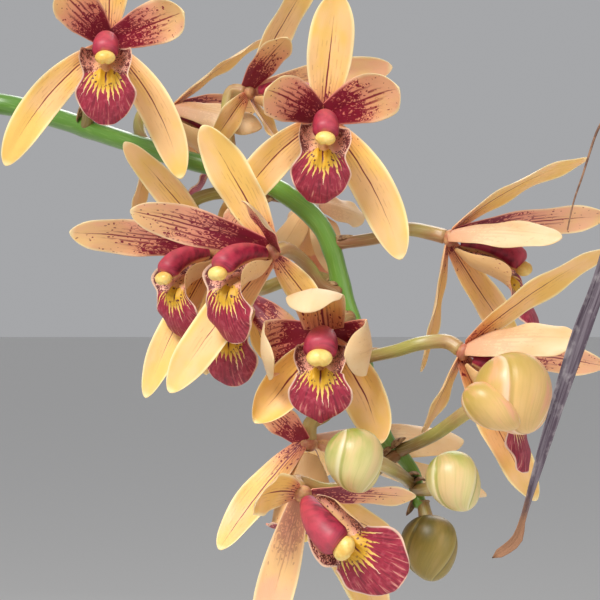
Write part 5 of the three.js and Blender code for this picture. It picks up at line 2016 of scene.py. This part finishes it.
# Its half width, evenly spaced along those places.
WITHERED_HALVES = (2.6, 3.4, 4.2, 4.6, 4.8, 4.6, 4, 3.2, 2.6, 2.2, 2, 1.7, 1.1, 0.9, 1.6, 1.2)
STRAND_LINE = (
    (75.5, 44.5, -43), (74.2, 42, -44), (72, 35.5, -45), (70.6, 31, -45), (68.4, 24.5, -45),
    (66.8, 17.2, -44),
)


@dataclass
class WitheredLeaf:
    """The old leaf that arches over the spray and hangs dry at its right, with a strand."""

    cup: float = 40.0
    thickness: float = 0.5
    strand_radius: float = 0.28
    foot_radius: float = 3.0
    crumples: int = 60
    shrinks: int = 44
    curve: Curve = field(init=False)

    def __post_init__(self) -> None:
        """Lays the leaf's middle line."""
        self.curve = Curve([*map(Vector, WITHERED_LINE), *map(seen, WITHERED_END)])

    def build(self, dry: bpy.types.Material, strand: bpy.types.Material) -> None:
        """Builds the leaf and the fibre that has peeled from it.

        Args:
            dry: The leaf's finish.
            strand: The fibre's finish.
        """
        rng = random.Random(5)
        crumple = [rng.uniform(-1, 1) for _ in range(self.crumples)]
        shrink = [rng.uniform(0.8, 1.1) for _ in range(self.shrinks)]
        viewer = Vector((0, -1, 0))

        def spot_at(t: float, angle: float) -> Spot:
            """Places a spot of the leaf."""
            along = self.curve.tangent(t)
            side = along.cross(viewer).normalized()
            frame = Frame(self.curve.at(t), along, side.cross(along).normalized(), side)
            s, lift = math.cos(angle), math.sin(angle)
            half = smooth_value(WITHERED_HALVES, self.curve.knot_share(t)) * smooth_value(shrink, t)
            half = 0.0 if t in (0.0, 1.0) else half * min(1.0, 12 * (1.004 - t) ** 0.5)
            across, up, turned = bent_section(half, self.cup, s)
            up += 0.35 * smooth_value(crumple, t) * s + 0.22 * smooth_value(crumple[::-1], t) * abs(s)
            thick = 0.0 if t in (0.0, 1.0) else self.thickness / 2 * lift
            point = frame.on_blade(across, up, turned, thick)
            return Spot(point, ((s + 1) / 2, t), (s * half, t * self.curve.length))

        skin = Skin()
        skin.wrap(*WITHERED_GRID, spot_at)
        fibre = Curve([*map(seen, STRAND_LINE)])

        def strand_at(t: float, angle: float) -> float:
            """Gives the fibre's radius, which thins along it."""
            return self.strand_radius * (1.1 - 0.5 * t)

        skin.tube(fibre, strand_at, *STRAND_GRID, finish=1)
        skin.piece("dry_leaf_and_strand", (dry, strand), "withered", ["withered_leaf"])


# Pot and bark


@dataclass
class ClayPot:
    """A plain turned clay pot with a band round its rim and drain holes beneath."""

    height: float = 128.0
    foot_radius: float = 54.0
    top_radius: float = 70.0
    wall: float = 6.0
    floor: float = 8.0
    rim_height: float = 24.0
    rim_proud: float = 5.0
    holes: int = 5
    hole_radius: float = 5.0
    hole_ring: float = 32.0
    rounding: float = 1.4
    turns: int = 128

    def inner_radius(self, z: float) -> float:
        """Gives the inner radius at height z."""
        rise = (z - self.floor) / (self.height - self.floor)
        return self.foot_radius - self.wall + rise * (self.top_radius - self.foot_radius)

    def _profile(self) -> list[tuple[float, float]]:
        """Gives the pot's section, from the axis below to the axis inside."""
        shoulder = self.height - self.rim_height
        lip = self.top_radius + self.rim_proud
        return [
            (0, 0), (self.hole_ring, 0), (self.foot_radius, 0), (self.top_radius, shoulder),
            (lip - 1, shoulder), (lip, self.height - 2), (lip - 2, self.height),
            (self.inner_radius(self.height), self.height),
            (self.inner_radius(self.floor), self.floor), (0, self.floor),
        ]

    def build(self, clay: bpy.types.Material) -> None:
        """Builds the pot.

        Args:
            clay: Its finish.
        """
        bm = bmesh.new()
        verts = [bm.verts.new((r * MM, 0, z * MM)) for r, z in self._profile()]
        edges = [bm.edges.new(pair) for pair in zip(verts, verts[1:])]
        bmesh.ops.spin(
            bm, geom=[*verts, *edges], cent=(0, 0, 0), axis=(0, 0, 1), angle=math.tau, steps=self.turns,
            use_merge=True,
        )
        bmesh.ops.remove_doubles(bm, verts=bm.verts, dist=0.01 * MM)
        bmesh.ops.recalc_face_normals(bm, faces=bm.faces)
        rings = [
            edge for edge in bm.edges
            if abs(edge.verts[0].co.z - edge.verts[1].co.z) < 0.01 * MM and edge.calc_face_angle(0) > 0.5
        ]
        bmesh.ops.bevel(
            bm, geom=rings, offset=self.rounding * MM, offset_type="OFFSET", segments=3, profile=0.5,
            affect="EDGES", material=-1,
        )
        mesh = self._drilled(mesh_of(bm, "clay_pot"))
        mesh.polygons.foreach_set("use_smooth", [True] * len(mesh.polygons))
        mesh.set_sharp_from_angle(angle=math.radians(40))
        placed("clay_pot", mesh, (clay,), ["pot"])

    def _drilled(self, mesh: bpy.types.Mesh) -> bpy.types.Mesh:
        """Cuts the drain holes through the floor.

        Args:
            mesh: The pot's mesh.

        Returns:
            The mesh with its holes.
        """
        bm = bmesh.new()
        for i in range(self.holes):
            angle = math.tau * i / self.holes
            place = Vector((math.cos(angle), math.sin(angle), 0)) * self.hole_ring * MM
            place.z = self.floor / 2 * MM
            bmesh.ops.create_cone(
                bm, cap_ends=True, segments=32, radius1=self.hole_radius * MM,
                radius2=self.hole_radius * MM, depth=3 * self.floor * MM,
                matrix=Matrix.Translation(place),
            )
        pot = bpy.data.objects.new("blank", mesh)
        drills = bpy.data.objects.new("drills", mesh_of(bm, "drills"))
        for item in (pot, drills):
            bpy.context.scene.collection.objects.link(item)
        cut = pot.modifiers.new("holes", "BOOLEAN")
        cut.object, cut.operation, cut.solver = drills, "DIFFERENCE", "EXACT"
        made = bpy.data.meshes.new_from_object(pot.evaluated_get(bpy.context.evaluated_depsgraph_get()))
        for item in (pot, drills):
            bpy.data.objects.remove(item)
        return made


# Each chip lies this far round from the last, which spreads them evenly.
GOLDEN_ANGLE = 2.39996


@dataclass
class LooseBark:
    """The loose chips over the bark that fills the pot."""

    top: float = 110.0
    reach: float = 59.0
    chips: int = 330
    seed: int = 11
    length: tuple[float, float] = (7, 15)
    width: tuple[float, float] = (5, 9)
    depth: tuple[float, float] = (2.2, 4.6)
    lift: tuple[float, float] = (0.2, 3.6)
    lean: float = 0.5
    corner: float = 0.16
    clearance: float = 5.0

    def build(self, bark: bpy.types.Material, clear_of: Sequence[tuple[float, float, float]]) -> None:
        """Builds the chips.

        Args:
            bark: Their finish.
            clear_of: What stands in the bark, as x, y and radius.
        """
        rng = random.Random(self.seed)
        bm = bmesh.new()
        for i in range(self.chips):
            angle, radius = i * GOLDEN_ANGLE, self.reach * math.sqrt((i + 0.5) / self.chips)
            x, y = radius * math.cos(angle), radius * math.sin(angle)
            size = [rng.uniform(*limits) for limits in (self.length, self.width, self.depth)]
            tilt = [rng.uniform(-self.lean, self.lean) for _ in range(2)] + [rng.uniform(0, 6.3)]
            height = self.top + rng.uniform(*self.lift)
            if any(math.hypot(x - a, y - b) < r + self.clearance for a, b, r in clear_of):
                continue
            cube = bmesh.ops.create_cube(bm, size=1)["verts"]
            for vert in cube:
                vert.co += Vector([rng.uniform(-self.corner, self.corner) for _ in range(3)])
            turn = Matrix.Rotation(tilt[2], 4, "Z")
            turn = turn @ Matrix.Rotation(tilt[0], 4, "X") @ Matrix.Rotation(tilt[1], 4, "Y")
            matrix = Matrix.Translation((x, y, height)) @ turn @ Matrix.Diagonal((*size, 1))
            bmesh.ops.transform(bm, matrix=matrix, verts=cube)
            edges = {edge for vert in cube for edge in vert.link_edges}
            bmesh.ops.bevel(
                bm, geom=list(edges), offset=0.6, offset_type="OFFSET", segments=1, profile=0.5,
                affect="EDGES", material=-1,
            )
        bmesh.ops.recalc_face_normals(bm, faces=bm.faces)
        bmesh.ops.scale(bm, vec=(MM, MM, MM), verts=bm.verts)
        placed("bark_chips", mesh_of(bm, "bark_chips"), (bark,))


# The studio


@dataclass(frozen=True)
class SoftLight:
    """A soft square light, by its place, where it looks, its size and its power."""

    name: str
    place: Place
    target: Place
    size: float
    power: float
    colour: Colour = (1.0, 1.0, 1.0)

    def build(self) -> None:
        """Adds the light."""
        light = bpy.data.lights.new(self.name, "AREA")
        light.shape, light.size, light.energy, light.color = "SQUARE", self.size, self.power, self.colour
        item = bpy.data.objects.new(self.name, light)
        item.location = self.place
        item.rotation_mode = "QUATERNION"
        item.rotation_quaternion = (Vector(self.target) - Vector(self.place)).to_track_quat("-Z", "Y")
        item.visible_camera = False
        bpy.context.scene.collection.objects.link(item)


@dataclass
class Studio:
    """A pale floor, soft light and the camera at the photograph's viewing angle."""

    floor_size: float = 20.0
    world: Colour = rgb(226, 227, 230)
    world_strength: float = 0.5
    lens: float = 115.2
    lights: Sequence[SoftLight] = (
        SoftLight("key_light", (-0.3, -0.95, 1.45), (0.25, 0, 0.38), 0.6, 26.0, (1.0, 0.98, 0.95)),
        SoftLight("fill_light", (1.25, -0.9, 0.55), (0.25, 0, 0.38), 0.9, 3.5),
        SoftLight("back_light", (0.45, 1.1, 1.2), (0.2, 0, 0.35), 0.9, 9.0),
    )

    def build(self, floor: bpy.types.Material) -> None:
        """Builds the studio.

        Args:
            floor: The floor's finish.
        """
        bm = bmesh.new()
        bmesh.ops.create_grid(bm, x_segments=1, y_segments=1, size=self.floor_size)
        mesh = mesh_of(bm, "floor")
        mesh.materials.append(floor)
        ground = bpy.data.objects.new("floor", mesh)
        bpy.context.scene.collection.objects.link(ground)
        for light in self.lights:
            light.build()
        world = bpy.data.worlds.new("soft_world")
        world.use_nodes = True
        background = world.node_tree.nodes["Background"]
        background.inputs[0].default_value = (*self.world, 1.0)
        background.inputs[1].default_value = self.world_strength
        bpy.context.scene.world = world
        bpy.context.scene.view_settings.view_transform = "Standard"
        self._add_camera()

    def _add_camera(self) -> None:
        """Adds the camera, level with the spray's middle, looking along +Y."""
        camera = bpy.data.cameras.new("camera")
        camera.lens, camera.sensor_width = self.lens, 36.0
        camera.clip_start, camera.clip_end = 0.02, 50.0
        item = bpy.data.objects.new("camera", camera)
        item.location = (SPRAY_MIDDLE - Vector((0, VIEW_DISTANCE, 0))) * MM
        item.rotation_euler = (math.pi / 2, 0, 0)
        bpy.context.scene.collection.objects.link(item)
        bpy.context.scene.camera = item


BUDS = (
    (
        Bud(
            "low_left", Egg((13.7, -40.2, -33), (6.7, 6.7, 7.6), (0.25, -0.1, -1)),
            ((27.5, -45.5, -1), (24, -43, -14), (20, -40.5, -26)), turn=0.2,
        ),
        GREEN_BUD,
    ),
    (
        Bud(
            "low_right", Egg((38.7, -45.5, -14), (6.4, 6.4, 7.6), (0.45, -0.2, -0.85)),
            ((29, -47.5, -1), (32, -47.3, -8), (34.5, -46.8, -12)), turn=0.55,
        ),
        GREEN_BUD,
    ),
    (
        Bud(
            "opening", Egg((53.5, -23.6, -32), (9.2, 8.4, 9.8), (0.45, -0.2, -0.85)),
            ((24.2, -38, 0), (33, -34, -10), (41, -27.7, -24)), turn=0.1,
            sepals=(Egg((48, -27, -36), (5.4, 4.6, 7.6), (0.8, -0.1, -0.5)),),
        ),
        PEACH_BUD,
    ),
    (
        Bud(
            "lowest", Egg((32.5, -62, -6), (7, 5.6, 8.2), (0.1, -0.1, -1)),
            ((30.7, -50.5, -2), (31.5, -54.5, -4)), turn=0.3,
        ),
        OLIVE_BUD,
    ),
)

GROWTHS = (
    Growth(
        "front", (-24, -20), 17, 58,
        (
            StrapLeaf(238, 70, 330, 17, 112), StrapLeaf(202, 62, 350, 18, 100),
            StrapLeaf(286, 74, 300, 16, 120), StrapLeaf(262, 82, 360, 17, 92),
            StrapLeaf(318, 56, 210, 15, 84),
        ),
    ),
    Growth(
        "back", (4, 32), 16, 54,
        (
            StrapLeaf(62, 66, 310, 17, 110), StrapLeaf(96, 74, 360, 18, 96),
            StrapLeaf(128, 60, 320, 16, 92), StrapLeaf(30, 58, 190, 15, 90),
        ),
    ),
    Growth(
        "left", (-36, 18), 15, 50,
        (
            StrapLeaf(178, 68, 340, 17, 104), StrapLeaf(152, 76, 370, 18, 90),
            StrapLeaf(166, 54, 250, 15, 84),
        ),
    ),
)


def main() -> None:
    """Loads the frame and builds the plant, its pot and the studio."""
    logging.basicConfig(level=logging.INFO, format="%(name)s: %(message)s")
    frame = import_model()
    blooms = Blooms(
        SEPAL.material(), PETAL.material(), JOINT.material(), LIP.material(), COLUMN.material(),
        ANTHER.material(),
    )
    for bloom in BLOOMS:
        bloom.build(blooms)
    finishes = {finish.name: finish.material() for finish in (GREEN_BUD, PEACH_BUD, OLIVE_BUD)}
    for bud, finish in BUDS:
        bud.build(finishes[finish.name])
    stem = FlowerStem(BLOOMS, [bud for bud, _ in BUDS])
    stem.build(RACHIS.material(), STALK.material(), BRACT.material())
    leaf, bulb, sheath = LEAF.material(), BULB.material(), SHEATH.material()
    for growth in GROWTHS:
        growth.build(leaf, bulb, sheath)
    withered = WitheredLeaf()
    withered.build(DRY.material(), STRAND.material())
    ClayPot().build(CLAY.material())
    bark = BARK.material()
    frame["nodes"]["bark"].data.materials.clear()
    frame["nodes"]["bark"].data.materials.append(bark)
    standing = [(*growth.at, growth.radius) for growth in GROWTHS]
    standing += [(*STEM_RISE[0][:2], STEM_RADII[0]), (*WITHERED_LINE[0][:2], withered.foot_radius)]
    LooseBark().build(bark, standing)
    Studio().build(FLOOR.material())

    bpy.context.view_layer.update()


if __name__ == "__main__":
    main()
